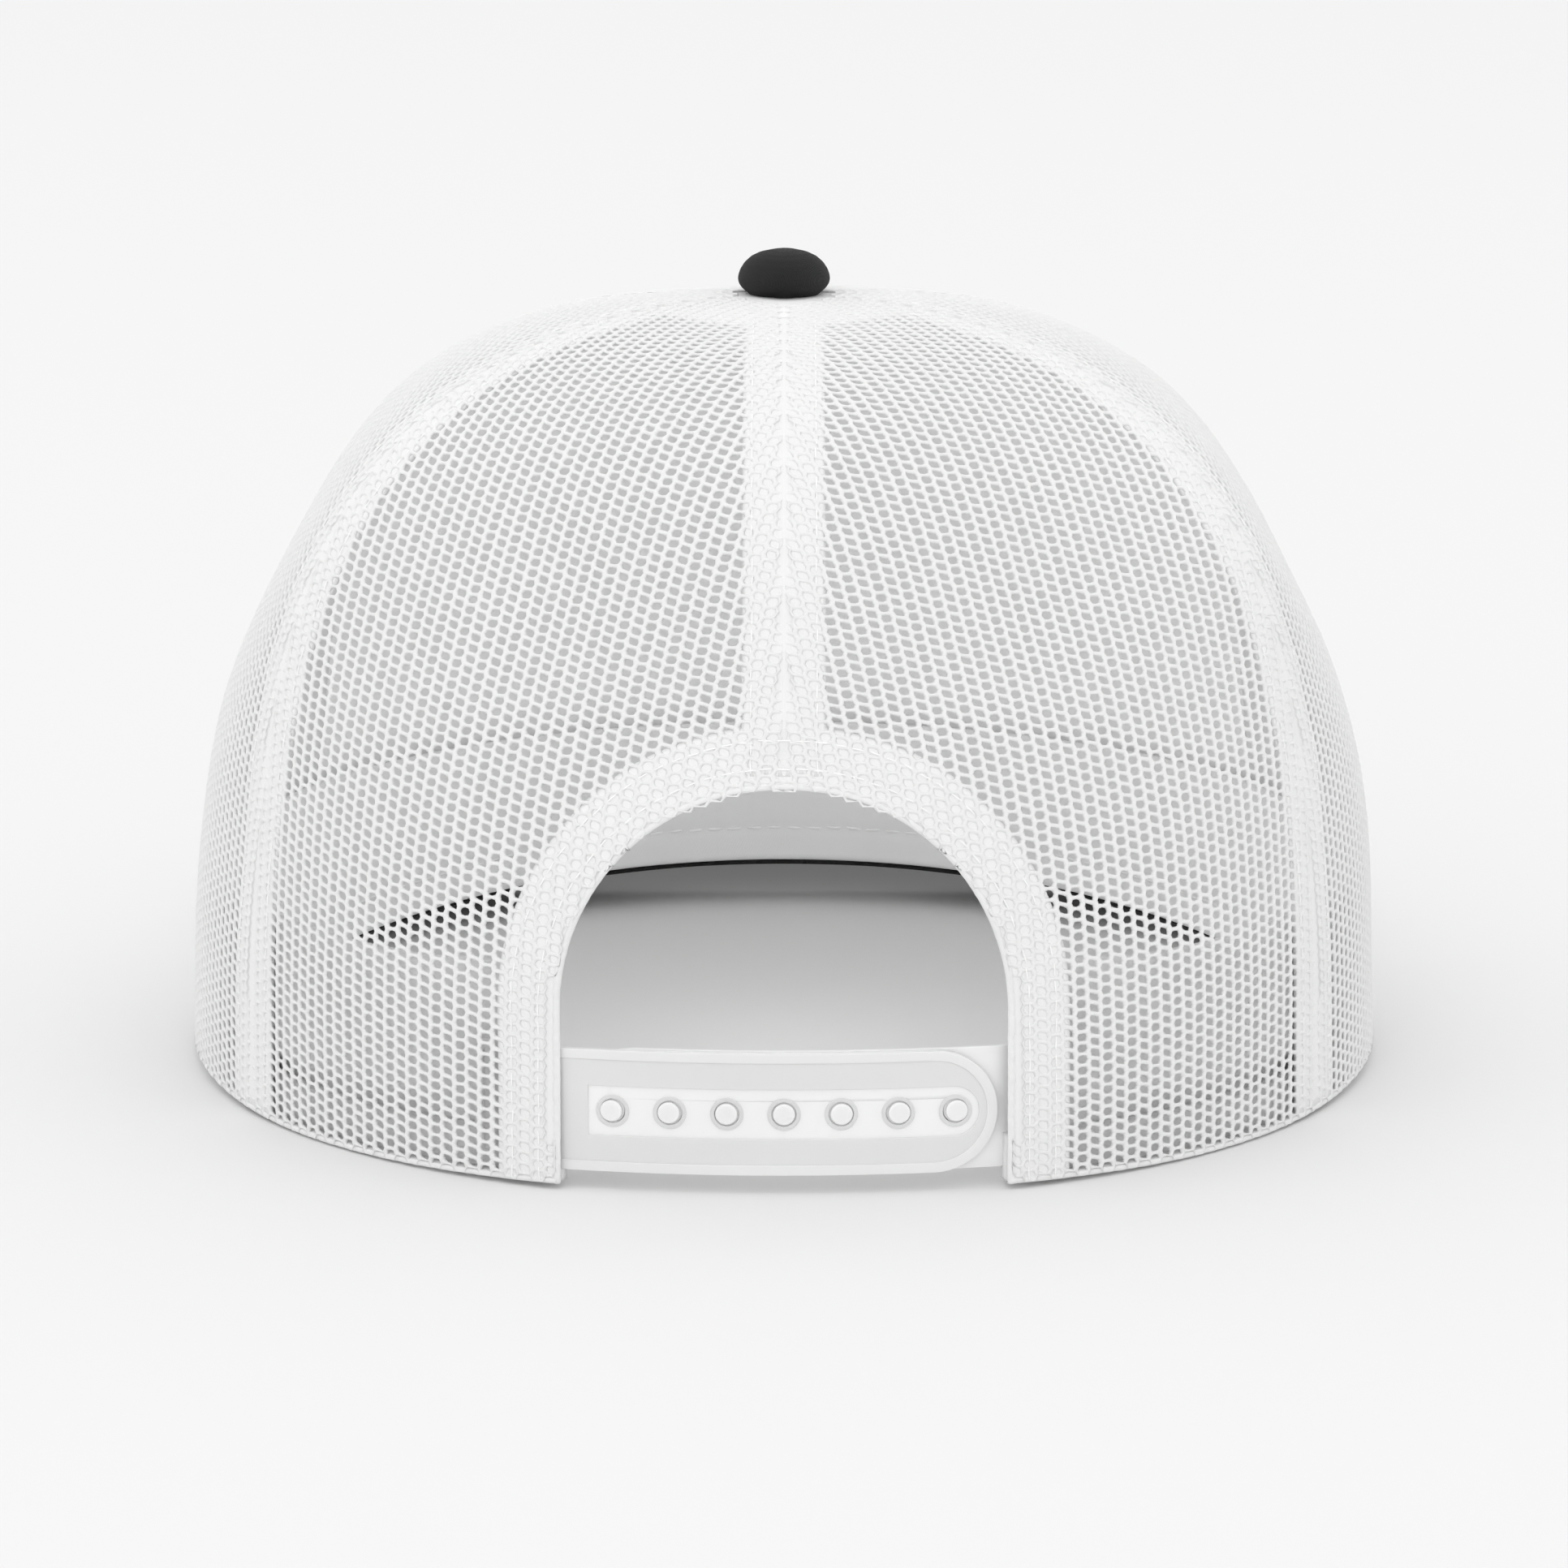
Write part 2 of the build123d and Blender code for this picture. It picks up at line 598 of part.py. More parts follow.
y_low = min(n.part.bounding_box().min.Y for n in NODES)
y_high = max(n.part.bounding_box().max.Y for n in NODES)
SHIFT = -(y_low + y_high) / 2
for n in NODES:
    label = n.part.label
    moved = n.part.moved(Location((0, SHIFT, 0)))
    moved.label = label
    export_step(moved, "parts/" + label + ".step")
    box = moved.bounding_box()
    print(f"{label:24s} solids {len(moved.solids())} valid {moved.is_valid} vol {moved.volume:9.1f} "
          f"x {box.min.X:7.2f} {box.max.X:7.2f} y {box.min.Y:7.2f} {box.max.Y:7.2f} "
          f"z {box.min.Z:6.2f} {box.max.Z:6.2f}")

print("crown axis Y", SHIFT)
print("pivot hole", PIVOT_X, PIVOT_Y + SHIFT, "pivot peg", -PIVOT_X, PEG_PIVOT_Y + SHIFT)
print("strap centre Y", STRAP_CENTRE_Y + SHIFT, "underside at 0", underside(0.0))
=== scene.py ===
import json
import math

import bmesh
import bpy
import numpy as np
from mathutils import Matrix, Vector


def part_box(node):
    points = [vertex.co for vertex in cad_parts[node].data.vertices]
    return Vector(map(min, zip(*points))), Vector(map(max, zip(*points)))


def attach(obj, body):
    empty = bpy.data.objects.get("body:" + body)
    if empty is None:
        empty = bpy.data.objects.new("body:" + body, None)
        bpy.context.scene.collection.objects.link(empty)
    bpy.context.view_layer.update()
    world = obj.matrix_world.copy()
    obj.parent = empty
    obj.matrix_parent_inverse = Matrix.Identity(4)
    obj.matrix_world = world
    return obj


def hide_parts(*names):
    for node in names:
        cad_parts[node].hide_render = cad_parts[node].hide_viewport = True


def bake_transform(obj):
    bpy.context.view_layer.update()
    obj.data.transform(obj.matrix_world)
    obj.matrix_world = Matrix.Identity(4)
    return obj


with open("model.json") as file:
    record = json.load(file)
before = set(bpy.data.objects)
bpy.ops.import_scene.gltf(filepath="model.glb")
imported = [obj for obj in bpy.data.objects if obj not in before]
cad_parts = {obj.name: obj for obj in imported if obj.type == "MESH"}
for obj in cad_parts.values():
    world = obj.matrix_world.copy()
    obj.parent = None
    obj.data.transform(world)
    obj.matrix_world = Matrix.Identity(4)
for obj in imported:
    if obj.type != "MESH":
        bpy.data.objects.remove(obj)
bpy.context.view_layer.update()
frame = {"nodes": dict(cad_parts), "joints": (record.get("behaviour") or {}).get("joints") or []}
NODES = frame["nodes"]
RNG = np.random.default_rng(20261118)

# --------------------------------------------------------------- the crown
# Everything below works in millimetres with the crown's axis at X = 0, Y = 0,
# and goes to metres in the row frame at the very end, in place().
_b0, _b1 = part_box("button_cover")
AXIS_Y = (_b0.y + _b1.y) * 500.0
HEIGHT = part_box("back_mesh_left")[1].z * 1000.0 + 0.2
BACK, FRONT = 93.0, 98.0
HALF = round(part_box("side_mesh_left")[1].x * 1000.0, 1)
HEX_DEPTH, HEX_LEVEL, HEX_SPREAD = 0.085, 0.755, 0.2455
VISOR_R, VISOR_TOUCH, VISOR_THICK = 690.0, 91.1, 3.3
ARCH_W, ARCH_SPRING = 32.0, 25.0
SEAMS = {"side_left": 30, "back_center": 90, "side_right": 150,
         "front_right": 210, "front_center": 270, "front_left": 330}


def hexagon(th):
    q = (th - math.pi / 2) / (math.pi / 3)
    psi = np.abs(q - np.round(q)) * math.pi / 3
    soft = np.sqrt(psi * psi + math.radians(5) ** 2) - math.radians(5)
    flat = math.cos(math.pi / 6) / np.cos(math.pi / 6 - np.minimum(soft, math.pi / 6))
    return (1 - flat) / (1 - math.cos(math.pi / 6))


def crown_r(th, z):
    f = np.clip(z / HEIGHT, 0.0, 0.999999)
    a = HALF * (1 - f ** 3.556) ** (1 / 2.579)
    back = BACK * (1 - f ** 2.518) ** (1 / 3.365)
    front = FRONT * (1 - f ** 3.765) ** (1 / 1.944)
    b = np.where(np.sin(th) >= 0, back, front)
    r = ((np.cos(th) / a) ** 2 + (np.sin(th) / b) ** 2) ** -0.5
    return r * (1 - HEX_DEPTH * np.exp(-(((f - HEX_LEVEL) / HEX_SPREAD) ** 2)) * hexagon(th))


POW = 2.4


def z_of(tau):
    return HEIGHT * (1 - (1 - np.clip(tau, 0, 1)) ** POW)


def tau_of(z):
    return 1 - (1 - np.clip(np.asarray(z, float) / HEIGHT, 0, 1)) ** (1 / POW)


LIFT = 1.2


def bare(th, tau):
    """The crown as it stands: the cloth springs out a little at the sides of
    the rim, and lifts at the opening and under the ears."""
    z = z_of(tau)
    r = crown_r(th, z) + 1.1 * np.clip(1 - z / 40, 0, 1) ** 1.3 * np.cos(th) ** 4
    x, y = r * np.cos(th), r * np.sin(th)
    back = np.exp(-((x / 45) ** 2)) * np.clip((y - 50) / 30, 0, 1) * np.clip((105 - z) / 45, 0, 1)
    turn = np.arcsin(np.clip(np.sin(th), -1, 1)) - math.radians(8)
    side = np.exp(-((turn / math.radians(20)) ** 2)) * np.clip(1 - z / 40, 0, 1)
    return np.stack([x, y, z + LIFT * back + 1.6 * side], -1)


def normal(th, tau):
    e = 2e-3
    t = np.clip(tau, e, 1 - 2 * e)
    a = bare(th + e, t) - bare(th - e, t)
    b = bare(th, t + e) - bare(th, t - e)
    n = np.cross(a, b)
    return n / np.linalg.norm(n, axis=-1, keepdims=True)


def wobble(p):
    """A slow, small unevenness of sewn cloth, in mm."""
    x, y, z = p[..., 0], p[..., 1], p[..., 2]
    w = (np.sin(x * 0.071 + 1.3) * np.sin(y * 0.083 + 0.4) + np.sin(z * 0.11 + x * 0.05 + 2.1) * 0.8
         + np.sin(x * 0.19 - y * 0.13 + z * 0.16 + 0.7) * 0.35)
    return 0.16 * w * np.clip(z / 22.0, 0, 1)


def surf(th, tau, depth):
    th = np.asarray(th, float)
    tau = np.asarray(tau, float)
    p = bare(th, tau)
    return p - normal(th, tau) * (np.asarray(depth, float) - wobble(p))[..., None]


def theta_at(x, z):
    """Direction of the point of the back half with this X at this height."""
    lo = np.zeros_like(x) + 1e-6
    hi = np.zeros_like(x) + math.pi - 1e-6
    for _ in range(44):
        mid = (lo + hi) / 2
        big = crown_r(mid, z) * np.cos(mid) > x
        lo = np.where(big, mid, lo)
        hi = np.where(big, hi, mid)
    return (lo + hi) / 2


def surf_xz(x, z, depth):
    x = np.asarray(x, float)
    z = np.asarray(z, float)
    return surf(theta_at(x, z), tau_of(z), depth)


def underside(x):
    return np.sqrt(VISOR_R ** 2 - x * x) - math.sqrt(VISOR_R ** 2 - VISOR_TOUCH ** 2)


def rim_z(th, lift=0.0):
    """Height of the crown's lower edge in one direction."""
    x = crown_r(th, np.zeros_like(th)) * np.cos(th)
    return np.where(np.sin(th) < 0, np.maximum(underside(x), 0) + lift, 0.0)


def arch_gap(x, z):
    """Distance outside the back opening's edge, seen from the back."""
    side = np.abs(x) - ARCH_W
    top = np.hypot(x, z - ARCH_SPRING) - ARCH_W
    return np.where(z > ARCH_SPRING, top, side)


class Panel:
    """Cloth coordinates of one panel: v up its middle, u along its rings."""

    def __init__(self, centre):
        self.c = math.radians(centre)
        self.tau = np.linspace(0, 0.995, 260)
        mid = bare(np.full_like(self.tau, self.c), self.tau)
        self.v = np.concatenate([[0], np.cumsum(np.linalg.norm(np.diff(mid, axis=0), axis=1))])
        span = math.radians(30)
        th = np.linspace(-span, span, 161)
        g = bare(self.c + th[None, :] + 0 * self.tau[:, None], self.tau[:, None] + 0 * th[None, :])
        step = np.linalg.norm(np.diff(g, axis=1), axis=2)
        arc = np.concatenate([np.zeros((len(self.tau), 1)), np.cumsum(step, 1)], 1)
        m = arc[:, 80][:, None]
        arc = arc - m
        self.right = arc[:, -1]
        self.left = -arc[:, 0]
        self.w = np.linspace(-1, 1, 161)
        self.th = np.zeros((len(self.tau), 161))
        for i in range(len(self.tau)):
            want = np.where(self.w < 0, self.w * self.left[i], self.w * self.right[i])
            self.th[i] = np.interp(want, arc[i], th)

    def half(self, v, u):
        return np.where(u < 0, np.interp(v, self.v, self.left), np.interp(v, self.v, self.right))

    def theta(self, w, tau):
        fi = np.clip(np.interp(tau, self.tau, np.arange(len(self.tau))), 0, len(self.tau) - 1.001)
        fj = np.clip((w + 1) / 2 * 160, 0, 159.999)
        i, j = fi.astype(int), fj.astype(int)
        a, b = fi - i, fj - j
        t = self.th
        return self.c + ((t[i, j] * (1 - a) + t[i + 1, j] * a) * (1 - b)
                         + (t[i, j + 1] * (1 - a) + t[i + 1, j + 1] * a) * b)

    def where(self, u, v):
        tau = np.interp(v, self.v, self.tau)
        w = u / np.maximum(self.half(v, u), 1e-6)
        return self.theta(np.clip(w, -1, 1), tau), tau

    def area(self, v0=0.0):
        keep = self.v >= v0
        return float(np.trapz((self.left + self.right)[keep], self.v[keep]))


# ------------------------------------------------------------ mesh building
def place(p):
    q = np.array(p, float).reshape(-1, 3) * 0.001
    q[:, 1] += AXIS_Y * 0.001
    return q


def make(name, verts, faces, material, body="crown", uv=None, smooth=True, raw=False):
    me = bpy.data.meshes.new(name)
    v = np.asarray(verts, float) if raw else place(verts)
    me.from_pydata([tuple(x) for x in v], [], faces)
    if uv is not None:
        layer = me.uv_layers.new(name="cloth")
        loops = np.zeros(len(me.loops), int)
        me.loops.foreach_get("vertex_index", loops)
        layer.data.foreach_set("uv", np.asarray(uv, np.float32)[loops].ravel())
    me.validate()
    me.update()
    o = bpy.data.objects.new(name, me)
    bpy.context.scene.collection.objects.link(o)
    if smooth:
        me.polygons.foreach_set("use_smooth", [True] * len(me.polygons))
    me.materials.append(material)
    if body:
        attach(o, body)
    return o


def fix_normals(o):
    bm = bmesh.new()
    bm.from_mesh(o.data)
    bmesh.ops.recalc_face_normals(bm, faces=bm.faces)
    bm.to_mesh(o.data)
    bm.free()
    return o


def slab(name, outer, inner, material, uv=None, body="crown", wrap=False):
    """A closed sheet between two matching grids of points."""
    n, m = outer.shape[:2]
    verts = np.concatenate([outer.reshape(-1, 3), inner.reshape(-1, 3)])
    k = n * m
    idx = np.arange(k).reshape(n, m)
    faces = []
    a, b, c, d = idx[:-1, :-1], idx[1:, :-1], idx[1:, 1:], idx[:-1, 1:]
    quads = np.stack([a, b, c, d], -1).reshape(-1, 4)
    faces += quads.tolist()
    faces += (quads[:, ::-1] + k).tolist()
    edge = list(idx[0, :]) + list(idx[1:, -1]) + list(idx[-1, -2::-1]) + list(idx[-2:0:-1, 0])
    for p, q in zip(edge, edge[1:] + edge[:1]):
        faces.append([p, q, q + k, p + k])
    if uv is not None:
        uv = np.concatenate([uv.reshape(-1, 2), uv.reshape(-1, 2)])
    return fix_normals(make(name, verts, faces, material, body, uv))


def ring_sweep(name, rows, material, uv=None, closed=False, body="crown"):
    """A closed profile carried along a path: rows is (path, profile, 3)."""
    n, m = rows.shape[:2]
    faces = []
    for i in range(n if closed else n - 1):
        for j in range(m):
            a, b = i * m + j, i * m + (j + 1) % m
            c, d = ((i + 1) % n) * m + (j + 1) % m, ((i + 1) % n) * m + j
            faces.append([a, b, c, d])
    if not closed:
        faces.append(list(range(m))[::-1])
        faces.append([(n - 1) * m + j for j in range(m)])
    if uv is not None:
        uv = uv.reshape(-1, 2)
    return fix_normals(make(name, rows.reshape(-1, 3), faces, material, body, uv))


def thread(name, rows, material, length=2.3, gap=0.75, radius=0.2, body="crown", flat=0.7):
    """Rows of separate stitches. rows is a list of (points, normals)."""
    verts, faces = [], []
    sides, rings = 6, ((-1.0, 0.35), (-0.8, 0.85), (0.0, 1.0), (0.8, 0.85), (1.0, 0.35))
    for pts, nrm in rows:
        pts = np.asarray(pts, float)
        nrm = np.asarray(nrm, float)
        seg = np.linalg.norm(np.diff(pts, axis=0), axis=1)
        s = np.concatenate([[0], np.cumsum(seg)])
        total = s[-1]
        count = int(total // (length + gap))
        if count < 1:
            continue
        pitch = total / count
        mids = (np.arange(count) + 0.5) * pitch
        jit = RNG.normal(0, 0.05, (count, 2))
        for k in range(count):
            c = np.array([np.interp(mids[k], s, pts[:, a]) for a in range(3)])
            e = np.array([np.interp(min(mids[k] + 0.8, total), s, pts[:, a]) for a in range(3)])
            f = np.array([np.interp(max(mids[k] - 0.8, 0), s, pts[:, a]) for a in range(3)])
            n = np.array([np.interp(mids[k], s, nrm[:, a]) for a in range(3)])
            t = (e - f) / max(np.linalg.norm(e - f), 1e-9)
            n = n - t * n.dot(t)
            n /= max(np.linalg.norm(n), 1e-9)
            b = np.cross(n, t)
            t = t + b * jit[k, 0]
            c = c + b * jit[k, 1]
            base = len(verts)
            for x, w in rings:
                for j in range(sides):
                    a = 2 * math.pi * j / sides
                    h = radius * flat * (0.55 - 0.75 * abs(x) ** 3)
                    verts.append(c + t * x * (length / 2) + b * radius * w * math.cos(a)
                                 + n * (radius * flat * w * math.sin(a) + h))
            for i in range(len(rings) - 1):
                for j in range(sides):
                    p, q = base + i * sides + j, base + i * sides + (j + 1) % sides
                    faces.append([p, q, q + sides, p + sides])
            faces.append([base + j for j in range(sides)][::-1])
            faces.append([base + (len(rings) - 1) * sides + j for j in range(sides)])
    return make(name, np.array(verts), faces, material, body)


# ---------------------------------------------------------------- materials
class Shade:
    """A small helper over one material's nodes."""

    def __init__(self, name, rough=0.7, sheen=0.0, coat=0.0, spec=0.5, sss=0.0, metal=0.0):
        self.m = bpy.data.materials.new(name)
        self.m.use_nodes = True
        self.t = self.m.node_tree
        self.p = self.t.nodes["Principled BSDF"]
        self.p.inputs["Roughness"].default_value = rough
        self.p.inputs["Sheen Weight"].default_value = sheen
        self.p.inputs["Sheen Roughness"].default_value = 0.5
        self.p.inputs["Coat Weight"].default_value = coat
        self.p.inputs["Specular IOR Level"].default_value = spec
        self.p.inputs["Metallic"].default_value = metal
        if sss:
            self.p.inputs["Subsurface Weight"].default_value = sss
            self.p.inputs["Subsurface Radius"].default_value = (1.0, 1.0, 1.0)
            self.p.inputs["Subsurface Scale"].default_value = 0.0015

    def node(self, kind, **values):
        n = self.t.nodes.new(kind)
        for k, v in values.items():
            setattr(n, k, v)
        return n

    def link(self, a, b):
        self.t.links.new(a, b)

    def coords(self, uv=True):
        if uv:
            n = self.node("ShaderNodeUVMap", uv_map="cloth")
            return n.outputs["UV"]
        return self.node("ShaderNodeTexCoord").outputs["Object"]

    def mapped(self, src, scale, rot=0.0):
        n = self.node("ShaderNodeMapping")
        n.inputs["Scale"].default_value = scale
        n.inputs["Rotation"].default_value = (0, 0, rot)
        self.link(src, n.inputs["Vector"])
        return n.outputs["Vector"]

    def wave(self, src, scale, rot=0.0, distort=0.6, detail=1.0):
        n = self.node("ShaderNodeTexWave", wave_type="BANDS", bands_direction="X")
        n.inputs["Scale"].default_value = 1.0
        n.inputs["Distortion"].default_value = distort
        n.inputs["Detail"].default_value = detail
        self.link(self.mapped(src, scale, rot), n.inputs["Vector"])
        return n.outputs["Fac"]

    def noise(self, src, scale, detail=3.0, stretch=(1, 1, 1)):
        n = self.node("ShaderNodeTexNoise")
        n.inputs["Scale"].default_value = scale
        n.inputs["Detail"].default_value = detail
        self.link(self.mapped(src, stretch), n.inputs["Vector"])
        return n.outputs["Fac"]

    def math(self, op, a, b):
        n = self.node("ShaderNodeMath", operation=op)
        for i, x in enumerate((a, b)):
            if hasattr(x, "is_linked") or hasattr(x, "links"):
                self.link(x, n.inputs[i])
            else:
                n.inputs[i].default_value = x
        return n.outputs[0]

    def colour(self, fac, stops):
        n = self.node("ShaderNodeValToRGB")
        r = n.color_ramp
        r.elements[0].position, r.elements[0].color = stops[0][0], (*stops[0][1], 1)
        r.elements[1].position, r.elements[1].color = stops[-1][0], (*stops[-1][1], 1)
        for p, c in stops[1:-1]:
            e = r.elements.new(p)
            e.color = (*c, 1)
        self.link(fac, n.inputs["Fac"])
        self.link(n.outputs["Color"], self.p.inputs["Base Color"])

    def rough(self, fac, lo, hi):
        n = self.node("ShaderNodeMapRange")
        n.inputs["To Min"].default_value = lo
        n.inputs["To Max"].default_value = hi
        self.link(fac, n.inputs["Value"])
        self.link(n.outputs["Result"], self.p.inputs["Roughness"])

    def bump(self, layers):
        last = None
        for height, strength, distance in layers:
            n = self.node("ShaderNodeBump")
            n.inputs["Strength"].default_value = strength
            n.inputs["Distance"].default_value = distance
            self.link(height, n.inputs["Height"])
            if last is not None:
                self.link(last, n.inputs["Normal"])
            last = n.outputs["Normal"]
        self.link(last, self.p.inputs["Normal"])
        return self.m


def grey(v, warm=0.0):
    return (v * (1 + warm), v, v * (1 - warm))


def knit_white():
    s = Shade("knit_mesh_white", rough=0.72, sheen=0.25, spec=0.3)
    uv = s.coords()
    fine = s.wave(uv, (2.2, 34.0, 1.0), rot=math.radians(90), distort=1.6, detail=2.0)
    twist = s.wave(uv, (26.0, 26.0, 1.0), rot=math.radians(38), distort=1.2)
    mix = s.math("ADD", s.math("MULTIPLY", fine, 0.6), s.math("MULTIPLY", twist, 0.4))
    cloud = s.noise(s.coords(False), 24.0, 2.0)
    tone = s.math("ADD", s.math("MULTIPLY", mix, 0.55), s.math("MULTIPLY", cloud, 0.45))
    s.colour(tone, [(0.15, grey(0.83)), (0.55, grey(0.885)), (0.9, grey(0.915))])
    s.rough(mix, 0.62, 0.82)
    fuzz = s.noise(s.coords(False), 2600.0, 2.0)
    return s.bump([(mix, 0.55, 0.00012), (fuzz, 0.35, 0.00005)])


def woven(name, low, high, pitch=0.42, angle=45, rough=0.75, sheen=0.2, warm=0.0, depth=0.00008,
          strength=0.6, grain=0.3):
    """Twill or plain weave in cloth coordinates that are in centimetres."""
    s = Shade(name, rough=rough, sheen=sheen, spec=0.3)
    uv = s.coords()
    k = 10.0 / pitch * math.pi / 1.57 * 0.5
    a = s.wave(uv, (k, k, 1.0), rot=math.radians(angle), distort=0.5)
    b = s.wave(uv, (k * 1.9, k * 1.9, 1.0), rot=math.radians(angle + 90), distort=0.4)
    mix = s.math("ADD", s.math("MULTIPLY", a, 0.7), s.math("MULTIPLY", b, 0.3))
    cloud = s.noise(s.coords(False), 30.0, 3.0)
    tone = s.math("ADD", s.math("MULTIPLY", mix, 1.0 - grain), s.math("MULTIPLY", cloud, grain))
    s.colour(tone, [(0.2, grey(low, warm)), (0.85, grey(high, warm))])
    s.rough(mix, rough - 0.08, rough + 0.08)
    fuzz = s.noise(s.coords(False), 2400.0, 2.0)
    return s.bump([(mix, strength, depth), (fuzz, 0.3, 0.00004)])


def solid_kind(name, low, high, rough, scale=40.0, bump=0.00002, sss=0.0, metal=0.0, coat=0.0, sheen=0.0,
               warm=0.0):
    s = Shade(name, rough=rough, sss=sss, metal=metal, coat=coat, sheen=sheen)
    obj = s.coords(False)
    n = s.noise(obj, scale, 4.0)
    s.colour(n, [(0.3, grey(low, warm)), (0.7, grey(high, warm))])
    s.rough(n, rough - 0.05, rough + 0.07)
    f = s.noise(obj, scale * 25, 2.0)
    return s.bump([(f, 0.4, bump)])


M_KNIT = knit_white()
M_TAPE = woven("woven_tape_white", 0.81, 0.87, pitch=0.5, angle=0, sheen=0.15, depth=0.00006)
M_FRONT = woven("front_twill_white", 0.79, 0.85, pitch=0.55, angle=52, sheen=0.2)
M_BAND = woven("sweatband_white", 0.86, 0.91, pitch=0.6, angle=60, sheen=0.15, depth=0.00005)
M_VISOR = woven("visor_twill_black", 0.008, 0.024, pitch=0.6, angle=50, rough=0.8, sheen=0.04,
                depth=0.0001, warm=0.01)
M_BUTTON = woven("button_twill_black", 0.006, 0.024, pitch=0.5, angle=35, rough=0.78, sheen=0.03,
                 depth=0.00016, strength=1.0, grain=0.2)
M_THREAD_W = solid_kind("thread_white", 0.88, 0.94, 0.55, scale=400, bump=0.00003, sheen=0.2)
M_THREAD_K = solid_kind("thread_black", 0.018, 0.035, 0.5, scale=400, bump=0.00003, sheen=0.1)
M_BUCKRAM = solid_kind("buckram_white", 0.88, 0.93, 0.8, scale=260, bump=0.0001, sheen=0.1)
M_PLASTIC = solid_kind("strap_plastic_milky", 0.82, 0.87, 0.34, scale=30, bump=0.000015, sss=0.35)
M_BOARD = solid_kind("board_plastic", 0.70, 0.76, 0.5, scale=60, bump=0.00003)
M_METAL = solid_kind("button_metal", 0.62, 0.70, 0.32, scale=120, bump=0.00001, metal=1.0)


def paint(node, material):
    o = NODES[node]
    o.data.materials.clear()
    o.data.materials.append(material)


# -------------------------------------------------------------- mesh panels
PITCH_U, PITCH_V = 2.13, 1.60
RIDGE, BACKSIDE, MIDDLE = -0.02, 0.66, 0.34


